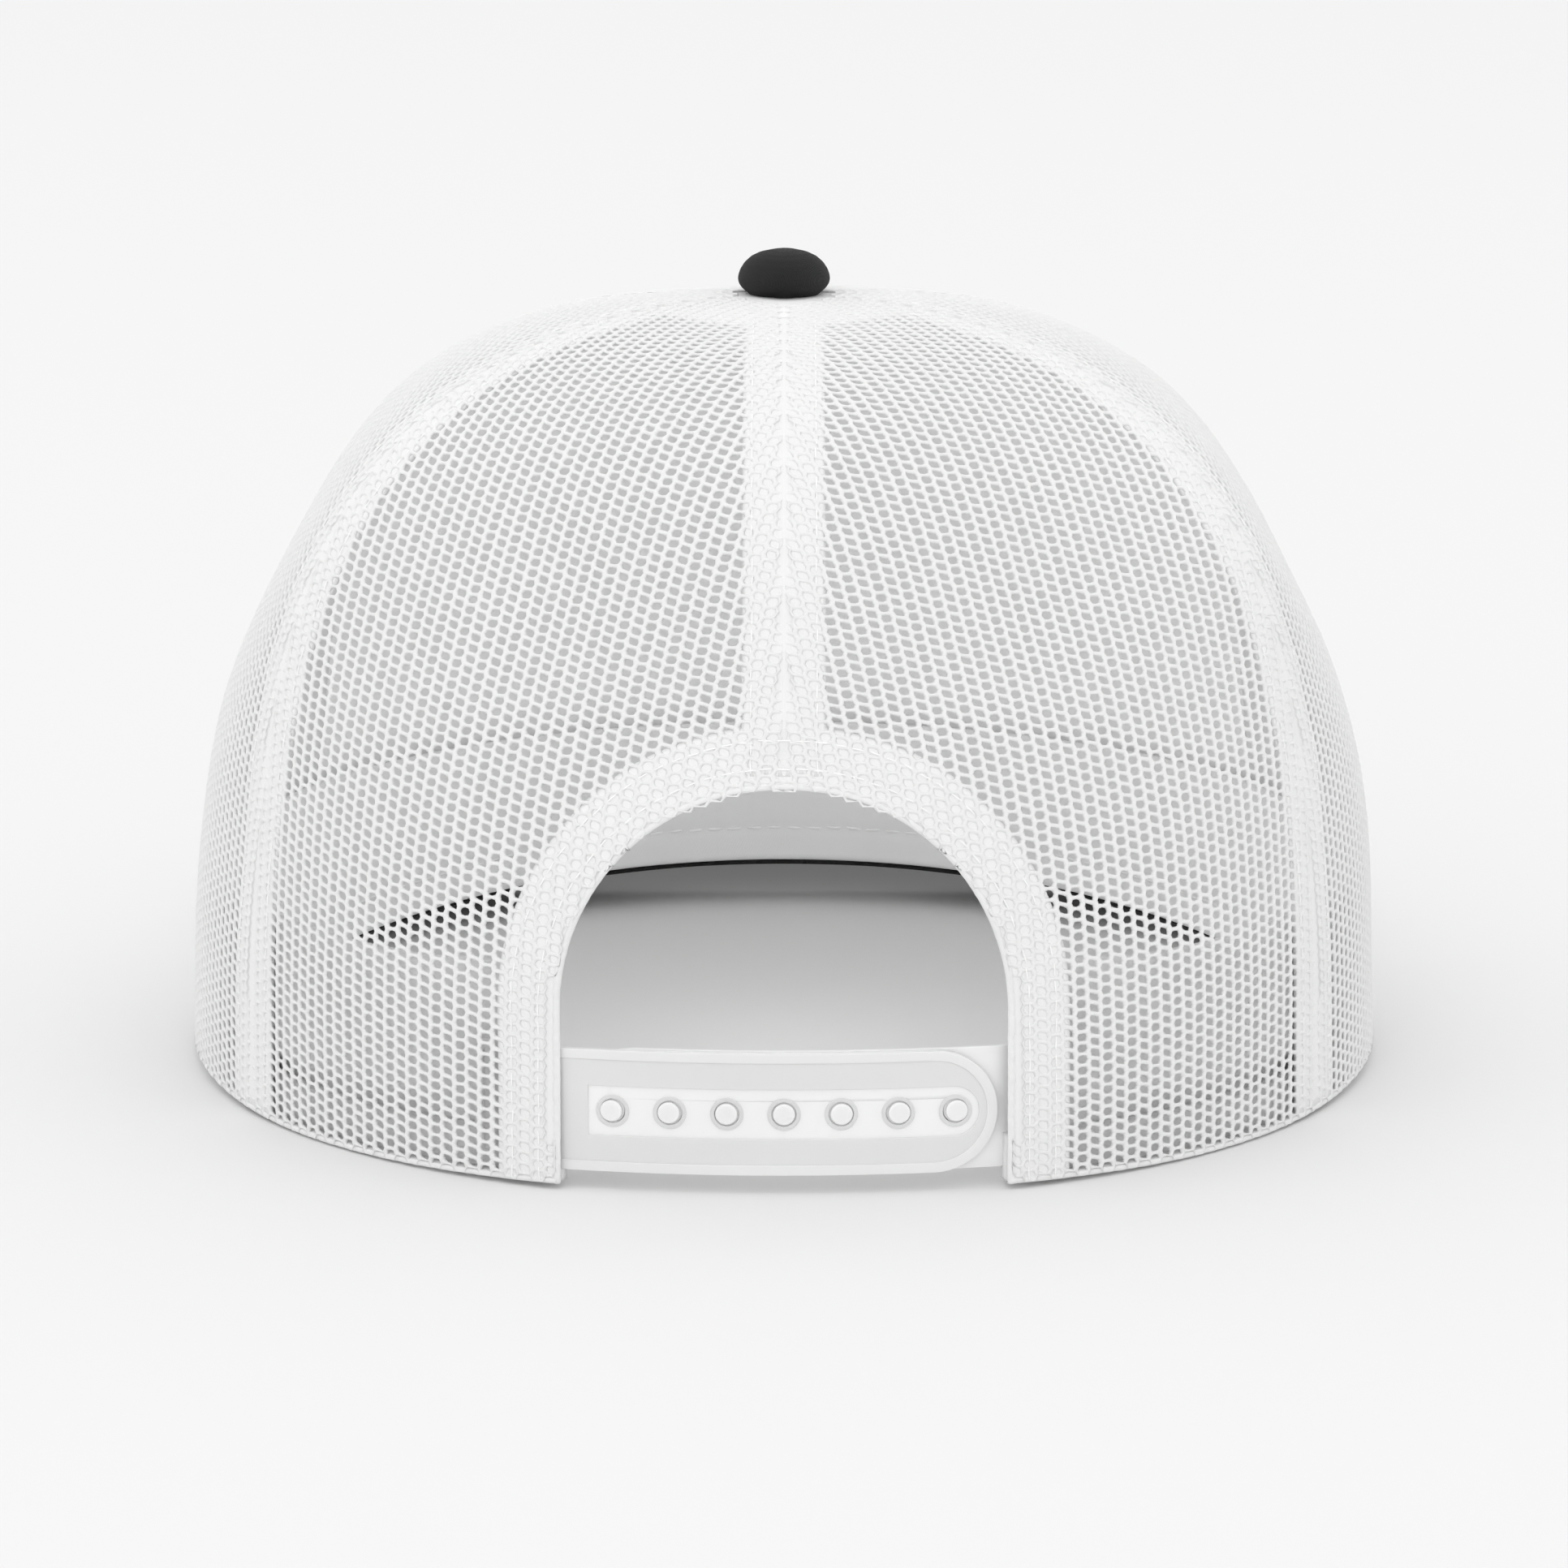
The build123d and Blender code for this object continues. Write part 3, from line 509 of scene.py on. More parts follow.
def net_panel(name, centre, node, arch=False):
    p = Panel(centre)
    a = 0.40 * PITCH_U
    b = PITCH_U - a
    h = PITCH_V / 2
    outer = np.array([(b, 0), (a, h), (0, h), (-a, h), (-b, 0), (-a, -h), (0, -h), (a, -h)])
    oval = np.array([(0.70, 0.0), (0.50, 0.44), (0.0, 0.55), (-0.50, 0.44), (-0.70, 0.0),
                     (-0.50, -0.44), (0.0, -0.55), (0.50, -0.44)])
    slant = np.array([(0.66, 0.0), (0.55, 0.44), (0.0, 0.48), (-0.55, 0.40), (-0.66, 0.0),
                      (-0.55, -0.44), (0.0, -0.48), (0.55, -0.40)])
    slant[:, 1] -= 0.40 * slant[:, 0]
    ii, jj = np.meshgrid(np.arange(-28, 29), np.arange(0, 100))
    ii, jj = ii.ravel(), jj.ravel()
    cx = ii * PITCH_U
    cy = jj * PITCH_V + (ii & 1) * h + 1.1
    vmax = p.v[-1]
    ok = cy < vmax - 5.0
    ii, cx, cy = ii[ok], cx[ok], cy[ok]
    ok = np.abs(cx) < p.half(cy, cx) - 0.12
    ii, cx, cy = ii[ok], cx[ok], cy[ok]
    th, tau = p.where(cx, cy)
    pos = bare(th, tau)
    ok = pos[:, 2] > rim_z(th) + 0.7
    ok &= np.hypot(pos[:, 0], pos[:, 1]) > 5.0
    if arch:
        ok &= arch_gap(pos[:, 0], pos[:, 2]) > 0.75
    ii, cx, cy = ii[ok], cx[ok], cy[ok]
    n = len(cx)
    hole = np.where((ii & 1)[:, None, None] == 0, oval[None], slant[None])
    grow = 1 + RNG.normal(0, 0.035, (n, 1, 1))
    hole = hole * grow + RNG.normal(0, 0.022, (n, 8, 2))
    cen = np.stack([cx, cy], -1)[:, None, :]
    out_uv = (cen + outer[None]).reshape(-1, 2)
    hole_uv = (cen + hole).reshape(-1, 2)
    mid_uv = (cen + hole * 0.45 + outer[None] * 0.55).reshape(-1, 2)
    key = np.round(out_uv * 20).astype(np.int64)
    _, first, inverse = np.unique(key[:, 0] * 100000 + key[:, 1], return_index=True,
                                  return_inverse=True)
    cor_uv = out_uv[first]
    inverse = inverse.reshape(-1)
    rope = np.tile(np.array([0, 0, 1, 0, 0, 0, 1, 0]), n)[first]
    cor_uv = cor_uv + RNG.normal(0, 0.03, cor_uv.shape)

    def lift(uv, depth):
        u, v = uv[:, 0], uv[:, 1]
        half = p.half(v, u)
        room = half - np.abs(u)
        u = np.clip(u, -half, half)
        th, tau = p.where(u, v)
        sink = 0.42 * np.clip(1 - room / 0.7, 0, 1) ** 1.5
        low = rim_z(th)
        tau = np.maximum(tau, tau_of(low + 0.12))
        d = depth + sink
        if arch:
            q = bare(th, tau)
            x, z = q[:, 0], q[:, 2]
            g = arch_gap(x, z)
            inside = g < 0.15
            if inside.any():
                xi, zi, gi = x[inside], z[inside], g[inside] - 0.15
                upper = zi > ARCH_SPRING
                rr = np.maximum(np.hypot(xi, zi - ARCH_SPRING), 1e-6)
                nx = np.where(upper, xi * (rr - gi) / rr, np.sign(xi) * (ARCH_W + 0.15))
                nz = np.where(upper, ARCH_SPRING + (zi - ARCH_SPRING) * (rr - gi) / rr, zi)
                th, tau = th.copy(), np.array(tau, float)
                th[inside] = theta_at(nx, nz)
                tau[inside] = tau_of(nz)
        return surf(th, tau, d)

    ridge = RIDGE + 0.12 * rope + RNG.normal(0, 0.02, len(rope))
    p_cor = lift(cor_uv, ridge)
    p_back = lift(cor_uv, np.full(len(cor_uv), BACKSIDE))
    p_hole = lift(hole_uv, np.full(len(hole_uv), MIDDLE))
    rope_all = np.tile(np.array([0, 0, 1, 0, 0, 0, 1, 0]), n)
    p_mid = lift(mid_uv, RIDGE + 0.05 + 0.10 * rope_all)
    k0, k1, k2 = 0, len(p_cor), len(p_cor) * 2
    k3 = k2 + len(p_hole)
    verts = np.concatenate([p_cor, p_back, p_hole, p_mid])
    uvs = np.concatenate([cor_uv, cor_uv, hole_uv, mid_uv]) * 0.1
    idx = np.arange(n * 8).reshape(n, 8)
    nxt = np.roll(idx, -1, axis=1)
    c0, c1 = inverse[idx], inverse[nxt]
    faces = [np.stack([k3 + idx, c0, c1, k3 + nxt], -1),
             np.stack([k2 + idx, k3 + idx, k3 + nxt, k2 + nxt], -1),
             np.stack([k1 + c0, k2 + idx, k2 + nxt, k1 + c1], -1)]
    faces = np.concatenate([f.reshape(-1, 4) for f in faces])
    # the cut edge, closed from the outside to the inside
    pairs = np.stack([c0.ravel(), c1.ravel()], -1)
    keyed = np.sort(pairs, axis=1) @ np.array([len(p_cor) + 1, 1])
    _, spot, times = np.unique(keyed, return_index=True, return_counts=True)
    rim = pairs[spot[times == 1]]
    rim_faces = np.stack([rim[:, 1], rim[:, 0], k1 + rim[:, 0], k1 + rim[:, 1]], -1)
    faces = np.concatenate([faces, rim_faces])
    o = make(name, verts, faces.tolist(), M_KNIT, "crown", uvs)
    # two islands, outside and inside, laid out in cloth coordinates
    layer = o.data.uv_layers.new(name="OFBake")
    loops = np.zeros(len(o.data.loops), int)
    o.data.loops.foreach_get("vertex_index", loops)
    span_u, span_v = 104.0, vmax + 4.0
    flat = uvs * 10.0
    base = np.stack([(flat[:, 0] + 52.0) / span_u * 0.49 + 0.005, flat[:, 1] / span_v * 0.98 + 0.01], -1)
    bake = base[loops]
    number = np.arange(len(faces))
    back_face = (number >= 2 * n * 8) & (number < 3 * n * 8)
    starts = np.zeros(len(o.data.polygons), int)
    o.data.polygons.foreach_get("loop_start", starts)
    if len(starts) == len(faces):
        for s in range(4):
            bake[starts[back_face] + s, 0] += 0.5
    layer.data.foreach_set("uv", bake.astype(np.float32).ravel())
    o.data.uv_layers.active = o.data.uv_layers["cloth"]
    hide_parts(node)
    cut = p.area()
    if arch:
        zz, ww = np.meshgrid(np.linspace(0, 57, 115), np.linspace(-32, 32, 129))
        cut -= float((arch_gap(ww, zz) < 0).mean()) * 57 * 64 / 2
    return o


NET = {
    "mesh_side_left": net_panel("mesh_side_left", 0, "side_mesh_left"),
    "mesh_side_right": net_panel("mesh_side_right", 180, "side_mesh_right"),
    "mesh_back_left": net_panel("mesh_back_left", 60, "back_mesh_left", arch=True),
    "mesh_back_right": net_panel("mesh_back_right", 120, "back_mesh_right", arch=True),
}


# -------------------------------------------------------------- front panels
def front_panel(name, centre, node):
    p = Panel(centre)
    w = np.linspace(-1, 1, 73)
    s = np.linspace(0, 1, 96)
    W, S = np.meshgrid(w, s)
    th0 = p.theta(W, np.full_like(W, 0.03))
    low = tau_of(rim_z(th0, VISOR_THICK + 0.15))
    tau = low + (0.985 - low) * S
    th = p.theta(W, tau)
    half = np.interp(tau, p.tau, p.left)
    room = half * (1 - np.abs(W))
    sink = 0.8 * np.clip(1 - room / 1.1, 0, 1) ** 1.5
    puff = -0.12 * np.exp(-((room - 3.2) / 1.6) ** 2)
    turn = 0.5 * np.clip(1 - S * 60, 0, 1) ** 2
    outer = surf(th, tau, 0.0 + sink + puff + turn)
    inner = surf(th, tau, 0.9 + sink * 0.2)
    uv = np.stack([W * half, np.interp(tau, p.tau, p.v)], -1) * 0.1
    o = slab(name, outer, inner, M_FRONT, uv)
    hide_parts(node)
    return o


front_panel("front_left", 300, "front_panel_left")
front_panel("front_right", 240, "front_panel_right")
paint("front_buckram_left", M_BUCKRAM)
paint("front_buckram_right", M_BUCKRAM)


# ----------------------------------------------------------------- seam tapes
def side_step(th, tau, s):
    """A direction s mm along the ring from a seam."""
    e = 1e-3
    span = np.linalg.norm(bare(th + e, tau) - bare(th - e, tau), axis=-1) / (2 * e)
    return th + s / span


def seam_tape(name, node, angle, d0, d1, z0, z1=None, front=False):
    th0 = math.radians(angle)
    tau = np.linspace(float(tau_of(z0)), 0.905, 120)
    if name.endswith("back_center"):
        tau = np.linspace(float(tau_of(z0)), 0.905, 90)
    s = np.linspace(-6.0, 6.0, 17)
    T, S = np.meshgrid(tau, s, indexing="ij")
    th = side_step(np.full_like(T, th0), T, S)
    edge = np.clip((np.abs(S) - 5.4) / 0.6, 0, 1) ** 2 * 0.12
    outer = surf(th, T, d0 + edge)
    inner = surf(th, T, d1 - edge)
    if front:
        outer = surf(th, np.maximum(T, tau_of(rim_z(th, VISOR_THICK + 0.4))), d0 + edge)
        inner = surf(th, np.maximum(T, tau_of(rim_z(th, VISOR_THICK + 0.4))), d1 - edge)
    v = np.linspace(0, 130, len(tau))
    uv = np.stack([S, np.repeat(v[:, None], len(s), 1)], -1) * 0.1
    o = slab(name, outer, inner, M_TAPE, uv)
    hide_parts(node)
    return o


seam_tape("tape_side_left", "seam_tape_side_left", 30, 0.27, 1.05, 0.4)
seam_tape("tape_side_right", "seam_tape_side_right", 150, 0.27, 1.05, 0.4)
seam_tape("tape_back_center", "seam_tape_back_center", 90, 0.27, 1.05, 58.5)
seam_tape("tape_front_center", "seam_tape_front_center", 270, 1.95, 2.35, 9.6, front=True)
seam_tape("tape_front_left", "seam_tape_front_left", 330, 1.95, 2.35, 7.4, front=True)
seam_tape("tape_front_right", "seam_tape_front_right", 210, 1.95, 2.35, 7.4, front=True)

# the round patch under the button that every seam runs into
th = np.linspace(0, 2 * math.pi, 121)[:-1]
loop = [(t, 0.27) for t in np.linspace(0.868, 0.985, 10)] + [(t, 1.08) for t in np.linspace(0.985, 0.868, 10)]
rows = np.array([surf(th, np.full_like(th, t), d) for t, d in loop]).transpose(1, 0, 2)
uv = np.stack(np.meshgrid(th * 12, np.array([t * 100 for t, _ in loop]), indexing="ij"), -1) * 0.1
ring_sweep("patch_top", rows, M_TAPE, uv, closed=True)


# ------------------------------------------------ tape and fold round the arch
def arch_path(w, n=161):
    """X, Z of a line w mm outside the opening's edge, from rim to rim."""
    r = ARCH_W + w
    straight = ARCH_SPRING
    total = 2 * straight + math.pi * ARCH_W
    s = np.linspace(0, total, n)
    x = np.zeros(n)
    z = np.zeros(n)
    a = s < straight
    x[a], z[a] = r, s[a]
    m = (s >= straight) & (s <= straight + math.pi * ARCH_W)
    ang = (s[m] - straight) / ARCH_W
    x[m], z[m] = r * np.cos(ang), ARCH_SPRING + r * np.sin(ang)
    c = s > straight + math.pi * ARCH_W
    x[c], z[c] = -r, total - s[c]
    return x, np.maximum(z, 0.15), s


WID = np.linspace(0.2, 8.5, 12)
outer, inner, uvs = [], [], []
for w in WID:
    x, z, s = arch_path(w)
    edge = 0.12 * max(0.0, (w - 7.9) / 0.6) ** 2
    outer.append(surf_xz(x, z, 0.27 + edge))
    inner.append(surf_xz(x, z, 1.08 - edge))
    uvs.append(np.stack([np.full_like(s, w), s], -1) * 0.1)
o = slab("tape_arch", np.array(outer), np.array(inner), M_TAPE, np.array(uvs))
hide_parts("arch_tape")

profile = np.array([(-0.30, 0.62), (-0.26, 0.34), (-0.10, 0.14), (0.14, 0.07), (0.40, 0.12),
                    (0.62, 0.34), (0.62, 0.70), (0.90, 1.12), (0.5, 1.22), (0.0, 1.16), (-0.22, 0.90)])
rows = []
for w, d in profile:
    x, z, s = arch_path(w, 321)
    ripple = 0.07 * np.sin(s * 3.8) + 0.04 * np.sin(s * 1.7 + 1) + 0.04 * np.sin(s * 0.77 + 1)
    rows.append(surf_xz(x, z, d + ripple * (0.3 if d > 0.65 else 1.0)))
rows = np.array(rows).transpose(1, 0, 2)
_, _, s = arch_path(0.0, 321)
uv = np.stack(np.meshgrid(s, profile[:, 0], indexing="ij"), -1) * 0.1
ring_sweep("fold_arch", rows, M_KNIT, uv)

# the turned lower edge of the mesh, in two lengths
TH_A = float(theta_at(np.array([ARCH_W + 0.1]), np.array([0.0]))[0])
profile = np.array([(0.12, 0.62), (0.15, 0.34), (0.30, 0.14), (0.52, 0.06), (0.80, 0.12), (1.02, 0.34),
                    (1.02, 0.70), (1.40, 1.15), (0.9, 1.25), (0.35, 1.12), (0.16, 0.88)])
for name, a0, a1 in (("fold_rim_left", math.radians(-29.7), TH_A),
                     ("fold_rim_right", math.pi - TH_A, math.radians(209.7))):
    th = np.linspace(a0, a1, 420)
    rows = []
    for h, d in profile:
        z = rim_z(th) + h
        rows.append(surf(th, tau_of(z), d + 0.05 * np.sin(th * 260) + 0.04 * np.sin(th * 97)))
    rows = np.array(rows).transpose(1, 0, 2)
    uv = np.stack(np.meshgrid(th * 88, profile[:, 0], indexing="ij"), -1) * 0.1
    ring_sweep(name, rows, M_KNIT, uv)
    out = [surf(th, tau_of(rim_z(th) + h), 1.85 + 0.1 * abs(h - 3.5) / 3.4) for h in np.linspace(0.15, 6.9, 14)]
    inn = [surf(th, tau_of(rim_z(th) + h), 4.05 - 0.1 * abs(h - 3.5) / 3.4) for h in np.linspace(0.15, 6.9, 14)]
    uv = np.stack(np.meshgrid(np.linspace(0.15, 6.9, 14), th * 88, indexing="ij"), -1) * 0.1
    hem = slab(name.replace("fold_rim", "hem"), np.array(out), np.array(inn), M_TAPE, uv)
    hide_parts("rim_hem")

# ------------------------------------------------------------------ sweatband
th_r = math.pi - float(theta_at(np.array([ARCH_W + 2.2]), np.array([0.0]))[0])
th_l = math.pi - th_r
th = np.linspace(th_r, 2 * math.pi + th_l, 400)
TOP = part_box("sweatband")[1].z * 1000
prof = []
for k in np.linspace(0, 1, 34):
    prof.append((k, 0))
loop = ([(k, 1) for k in np.linspace(0.0, 0.985, 34)] + [(1.0, 0.7), (1.0, 0.3)]
        + [(k, 0) for k in np.linspace(0.985, 0.0, 34)] + [(-0.012, 0.3), (-0.012, 0.7)])
rows = []
for k, side in loop:
    low = rim_z(th) + 0.35 + 1.0 * np.clip(-np.sin(th) * 1.6, 0, 1)
    z = low + (TOP - 0.2 - low) * k
    xa = np.abs(crown_r(th, np.full_like(th, 10.0)) * np.cos(th))
    hug = np.clip((np.sin(th) + 0.42) / 0.2, 0, 1) * np.clip((z - 7.6) / 3.0, 0, 1)
    hug = hug * np.where(np.sin(th) > 0, np.clip((xa - 47.5) / 5.0, 0, 1), 1.0)
    hug = 2.75 * hug * hug * (3 - 2 * hug)
    h = (TOP - low) * max(k, 0)
    groove = 0.22 * np.exp(-((h - 5.2) / 0.7) ** 2)
    puff = 0.35 * np.sin(np.clip((h - 5.2) / (TOP - 6.5), 0, 1) * math.pi) ** 0.7 if np.ndim(h) else 0
    uneven = 0.10 * np.sin(th * 31 + 0.5 * np.sin(th * 7)) * np.clip(h / 10, 0, 1)
    d = 4.25 - hug + 1.05 * side + (puff - groove) * side + uneven * (1 - hug / 3.4)
    rows.append(surf(th, tau_of(np.maximum(z, 0.02)), d))
rows = np.array(rows).transpose(1, 0, 2)
uv = np.stack(np.meshgrid(th * 86, np.array([k * 31 for k, _ in loop]), indexing="ij"), -1) * 0.1
band = ring_sweep("band_inner", rows, M_BAND, uv)
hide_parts("sweatband")

row = []
for off in (5.2,):
    z = rim_z(th) + 0.35 + off + 1.0 * np.clip(-np.sin(th) * 1.6, 0, 1)
    row.append((surf(th, tau_of(z), 5.13), -normal(th, tau_of(z))))
thread("stitch_band", row, M_THREAD_W, length=2.4, gap=0.9, radius=0.22)

# --------------------------------------------------------------- seam stitches
rows = []
for key, angle in SEAMS.items():
    front = key.startswith("front")
    z0 = {"back_center": 58.5}.get(key, 8.0 if front else 2.6)
    for off in ((-4.6, 4.6) if not front else (-2.6, 2.6)):
        tau = np.linspace(float(tau_of(z0)), 0.885, 240)
        th_s = side_step(np.full_like(tau, math.radians(angle)), tau, np.full_like(tau, off))
        d = 0.02 if front else 0.12
        rows.append((surf(th_s, tau, d), normal(th_s, tau)))
thread("stitch_seams", rows, M_THREAD_W, length=2.0, gap=0.6, radius=0.10)
rows = []
for w in (2.6, 6.4):
    x, z, s = arch_path(w, 400)
    t = theta_at(x, z)
    rows.append((surf(t, tau_of(z), 0.10), normal(t, tau_of(z))))
thread("stitch_arch", rows, M_THREAD_W, length=2.0, gap=0.6, radius=0.11)

# ---------------------------------------------------------------------- visor
VISOR_PTS = [(-78.0, -46.2), (-86.8, -60.0), (-91.0, -82.0), (-88.0, -108.0), (-76.0, -134.0),
             (-55.0, -153.5), (-28.0, -165.0), (0.0, -168.6)]
pts = np.array(VISOR_PTS + [(-x, y) for x, y in VISOR_PTS[-2::-1]])


def smooth_curve(pts, n):
    """A natural-looking curve through the points, evenly spaced."""
    k = len(pts)
    d = np.concatenate([[0], np.cumsum(np.linalg.norm(np.diff(pts, axis=0), axis=1))])
    t = np.linspace(0, d[-1], 1200)
    out = []
    tang = np.gradient(pts, d, axis=0)
    for x in t:
        i = min(np.searchsorted(d, x, side="right") - 1, k - 2)
        h = d[i + 1] - d[i]
        s = (x - d[i]) / h
        out.append((2 * s ** 3 - 3 * s ** 2 + 1) * pts[i] + (s ** 3 - 2 * s ** 2 + s) * h * tang[i]
                   + (-2 * s ** 3 + 3 * s ** 2) * pts[i + 1] + (s ** 3 - s ** 2) * h * tang[i + 1])
    out = np.array(out)
    L = np.concatenate([[0], np.cumsum(np.linalg.norm(np.diff(out, axis=0), axis=1))])
    e = np.linspace(0, L[-1], n)
    return np.stack([np.interp(e, L, out[:, 0]), np.interp(e, L, out[:, 1])], -1)


NV = 181
edge_line = smooth_curve(pts, NV)
th_in = np.linspace(math.radians(210.6), math.radians(329.4), NV)
inner_line = surf(th_in, np.full(NV, float(tau_of(5.0))), 4.0)[:, :2]
SPAN = np.linalg.norm(edge_line - inner_line, axis=1)
MIDZ = VISOR_THICK / 2
ROWS = [4.0, 10.5, 17.0, 23.5, 30.0, 36.5]


def visor_at(dist, h):
    """Points at a distance inside the outer edge, h above the underside."""
    f = np.clip(dist / SPAN, 0, 1)[:, None]
    xy = edge_line * (1 - f) + inner_line * f
    return np.stack([xy[:, 0], xy[:, 1], np.maximum(underside(xy[:, 0]), 0) + h], -1)


def visor_cover(name, node, sign):
    k = np.linspace(0, 1, 60)
    out, inn, uvs = [], [], []
    for a in np.linspace(0, math.pi / 2, 7)[:-1]:
        out.append(visor_at(MIDZ * (1 - np.cos(a)) * np.ones(NV), MIDZ + sign * MIDZ * math.sin(a)))
        inn.append(visor_at((MIDZ - (MIDZ - 0.7) * math.cos(a)) * np.ones(NV),
                            MIDZ + sign * (MIDZ - 0.7) * math.sin(a)))
        uvs.append(np.stack([np.arange(NV) * 1.75, np.full(NV, a)], -1) * 0.1)
    for q in k:
        dist = MIDZ + (SPAN - MIDZ) * q
        groove = sum(0.28 * np.exp(-((dist - r) / 0.55) ** 2) for r in ROWS) * (SPAN > 30)
        swell = 0.05 * np.sin(np.arange(NV) * 0.23) * np.sin(q * 9)
        out.append(visor_at(dist, MIDZ + sign * (MIDZ - groove + swell)))
        inn.append(visor_at(dist, MIDZ + sign * (MIDZ - 0.7)))
        uvs.append(np.stack([np.arange(NV) * 1.75, dist], -1) * 0.1)
    o = slab(name, np.array(out), np.array(inn), M_VISOR, np.array(uvs))
    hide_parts(*node)
    return o


visor_cover("visor_cloth_top", ("visor_top_cover", "visor_edge_strip"), 1)
visor_cover("visor_cloth_under", ("visor_under_cover",), -1)
paint("visor_board", M_BOARD)
rows_t = []
for r in ROWS:
    use = SPAN > r + 6
    if use.sum() < 6:
        continue
    for sign in (1, -1):
        q = visor_at(np.full(NV, r), MIDZ + sign * (MIDZ - 0.24))[use]
        rows_t.append((q, np.tile(np.array([0, 0, float(sign)]), (len(q), 1))))
thread("stitch_visor", rows_t, M_THREAD_K, length=2.5, gap=0.8, radius=0.2)

# --------------------------------------------------------------------- button
B_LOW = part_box("button_cover")[0].z * 1000 - 0.25
B_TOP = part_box("button_cover")[1].z * 1000 + 1.5
B_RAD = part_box("button_cover")[1].x * 1000
rim_k = np.linspace(0, 1, 40)
ang = np.linspace(0, 2 * math.pi, 145)[:-1]
BP = np.array([(0.0, 0.0), (2.0, 0.06), (3.6, 0.42), (4.9, 1.05), (5.9, 1.95), (6.55, 2.95), (6.84, 3.80),
               (6.90, 4.40), (6.75, 5.05), (6.35, 5.65), (5.75, 6.20), (5.1, 6.75)])
bs = np.concatenate([[0], np.cumsum(np.linalg.norm(np.diff(BP, axis=0), axis=1))])
rows = []
for k in rim_k:
    rr = np.interp(k * bs[-1], bs, BP[:, 0]) * B_RAD / 6.9
    hh = B_TOP - np.interp(k * bs[-1], bs, BP[:, 1])
    fold = (0.05 * np.sin(ang * 17 + 0.8) + 0.04 * np.sin(ang * 29)) * max(0.0, k - 0.6)
    sway = 0.04 * np.sin(ang * 3 + 0.4) * np.sin(k * 5)
    rows.append(np.stack([(rr + fold) * np.cos(ang), (rr + fold) * np.sin(ang),
                          np.full_like(ang, hh) + fold * 0.3 + sway], -1))
top = np.array(rows)
n, m = top.shape[:2]
verts = [top[0].mean(0)] + list(top[1:].reshape(-1, 3))
faces = [[0, 1 + j, 1 + (j + 1) % m] for j in range(m)]
for i in range(n - 2):
    for j in range(m):
        a0, b0 = 1 + i * m + j, 1 + i * m + (j + 1) % m
        faces.append([a0, a0 + m, b0 + m, b0])
# a turned-in lower lip closes the cover
lip = top[-1].copy()
lip[:, :2] *= 0.80
start = len(verts)
verts += list(lip)
last = 1 + (n - 2) * m
for j in range(m):
    faces.append([last + j, start + j, start + (j + 1) % m, last + (j + 1) % m])
verts.append(lip.mean(0) + np.array([0, 0, 0.15]))
for j in range(m):
    faces.append([start + j, len(verts) - 1, start + (j + 1) % m])
verts = np.array(verts)
uv = verts[:, :2] * 0.1
btn = fix_normals(make("button_cloth", verts, faces, M_BUTTON, "crown", uv))
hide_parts("button_cover")
paint("button_shell", M_METAL)
paint("button_rivet", M_METAL)

# ---------------------------------------------------------------- snap straps
S_LO, S_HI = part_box("hole_strap")
S_Z0, S_Z1 = S_LO.z * 1000, S_HI.z * 1000
S_MID = (S_Z0 + S_Z1) / 2 + LIFT
S_H = (S_Z1 - S_Z0) / 2
joints = {j["name"]: j for j in frame["joints"]}
PIV_H = Vector(joints["hole_strap_fold"]["pos_m"]) * 1000
PX = PIV_H.x
STRAP_R, STEP, TIP = 135.0, 1.3, -S_LO.x * 1000
STRAP_C = (PIV_H.y - AXIS_Y) - math.sqrt(STRAP_R ** 2 - PX ** 2)
END_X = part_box("hole_strap_end")[1].x * 1000
HOLE_R, PEG_R, CHANNEL = 1.85, 1.3, 7.3


def flat_shape(loops, thick, bevel=0.0):
    """An extruded flat shape; the first loop is its outline, the rest holes."""
    cu = bpy.data.curves.new("tmp_shape", "CURVE")
    cu.dimensions = "2D"
    cu.fill_mode = "BOTH"
    for loop in loops:
        sp = cu.splines.new("POLY")
        sp.points.add(len(loop) - 1)
        for pt, (x, y) in zip(sp.points, loop):
            pt.co = (x, y, 0, 1)
        sp.use_cyclic_u = True
    cu.extrude = max(thick / 2 - bevel, 1e-4)
    cu.bevel_depth = bevel
    cu.bevel_resolution = 2
    ob = bpy.data.objects.new("tmp_shape", cu)
    bpy.context.scene.collection.objects.link(ob)
    bpy.context.view_layer.update()
    dg = bpy.context.evaluated_depsgraph_get()
    me = bpy.data.meshes.new_from_object(ob.evaluated_get(dg))
    bpy.data.objects.remove(ob)
    bpy.data.curves.remove(cu)
    return me


def outline(inset, root, tip, n=28, square_tip=False):
    h = S_H - inset
    t = tip + inset
    c = t + h
    loop = [(root - inset, -h)]
    loop.append((root - inset, h))
    for a in np.linspace(math.pi / 2, 3 * math.pi / 2, n):
        loop.append((c + h * math.cos(a), h * math.sin(a)))
    return loop


def circle(x, y, r, n=28):
    return [(x + r * math.cos(a), y + r * math.sin(a)) for a in np.linspace(0, 2 * math.pi, n + 1)[:-1]]


def capsule(x0, x1, h, n=20):
    """Straight at x1, round at x0."""
    loop = [(x1, -h), (x1, h)]
    c = x0 + h
    for a in np.linspace(math.pi / 2, 3 * math.pi / 2, n):
        loop.append((c + h * math.cos(a), h * math.sin(a)))
    return loop


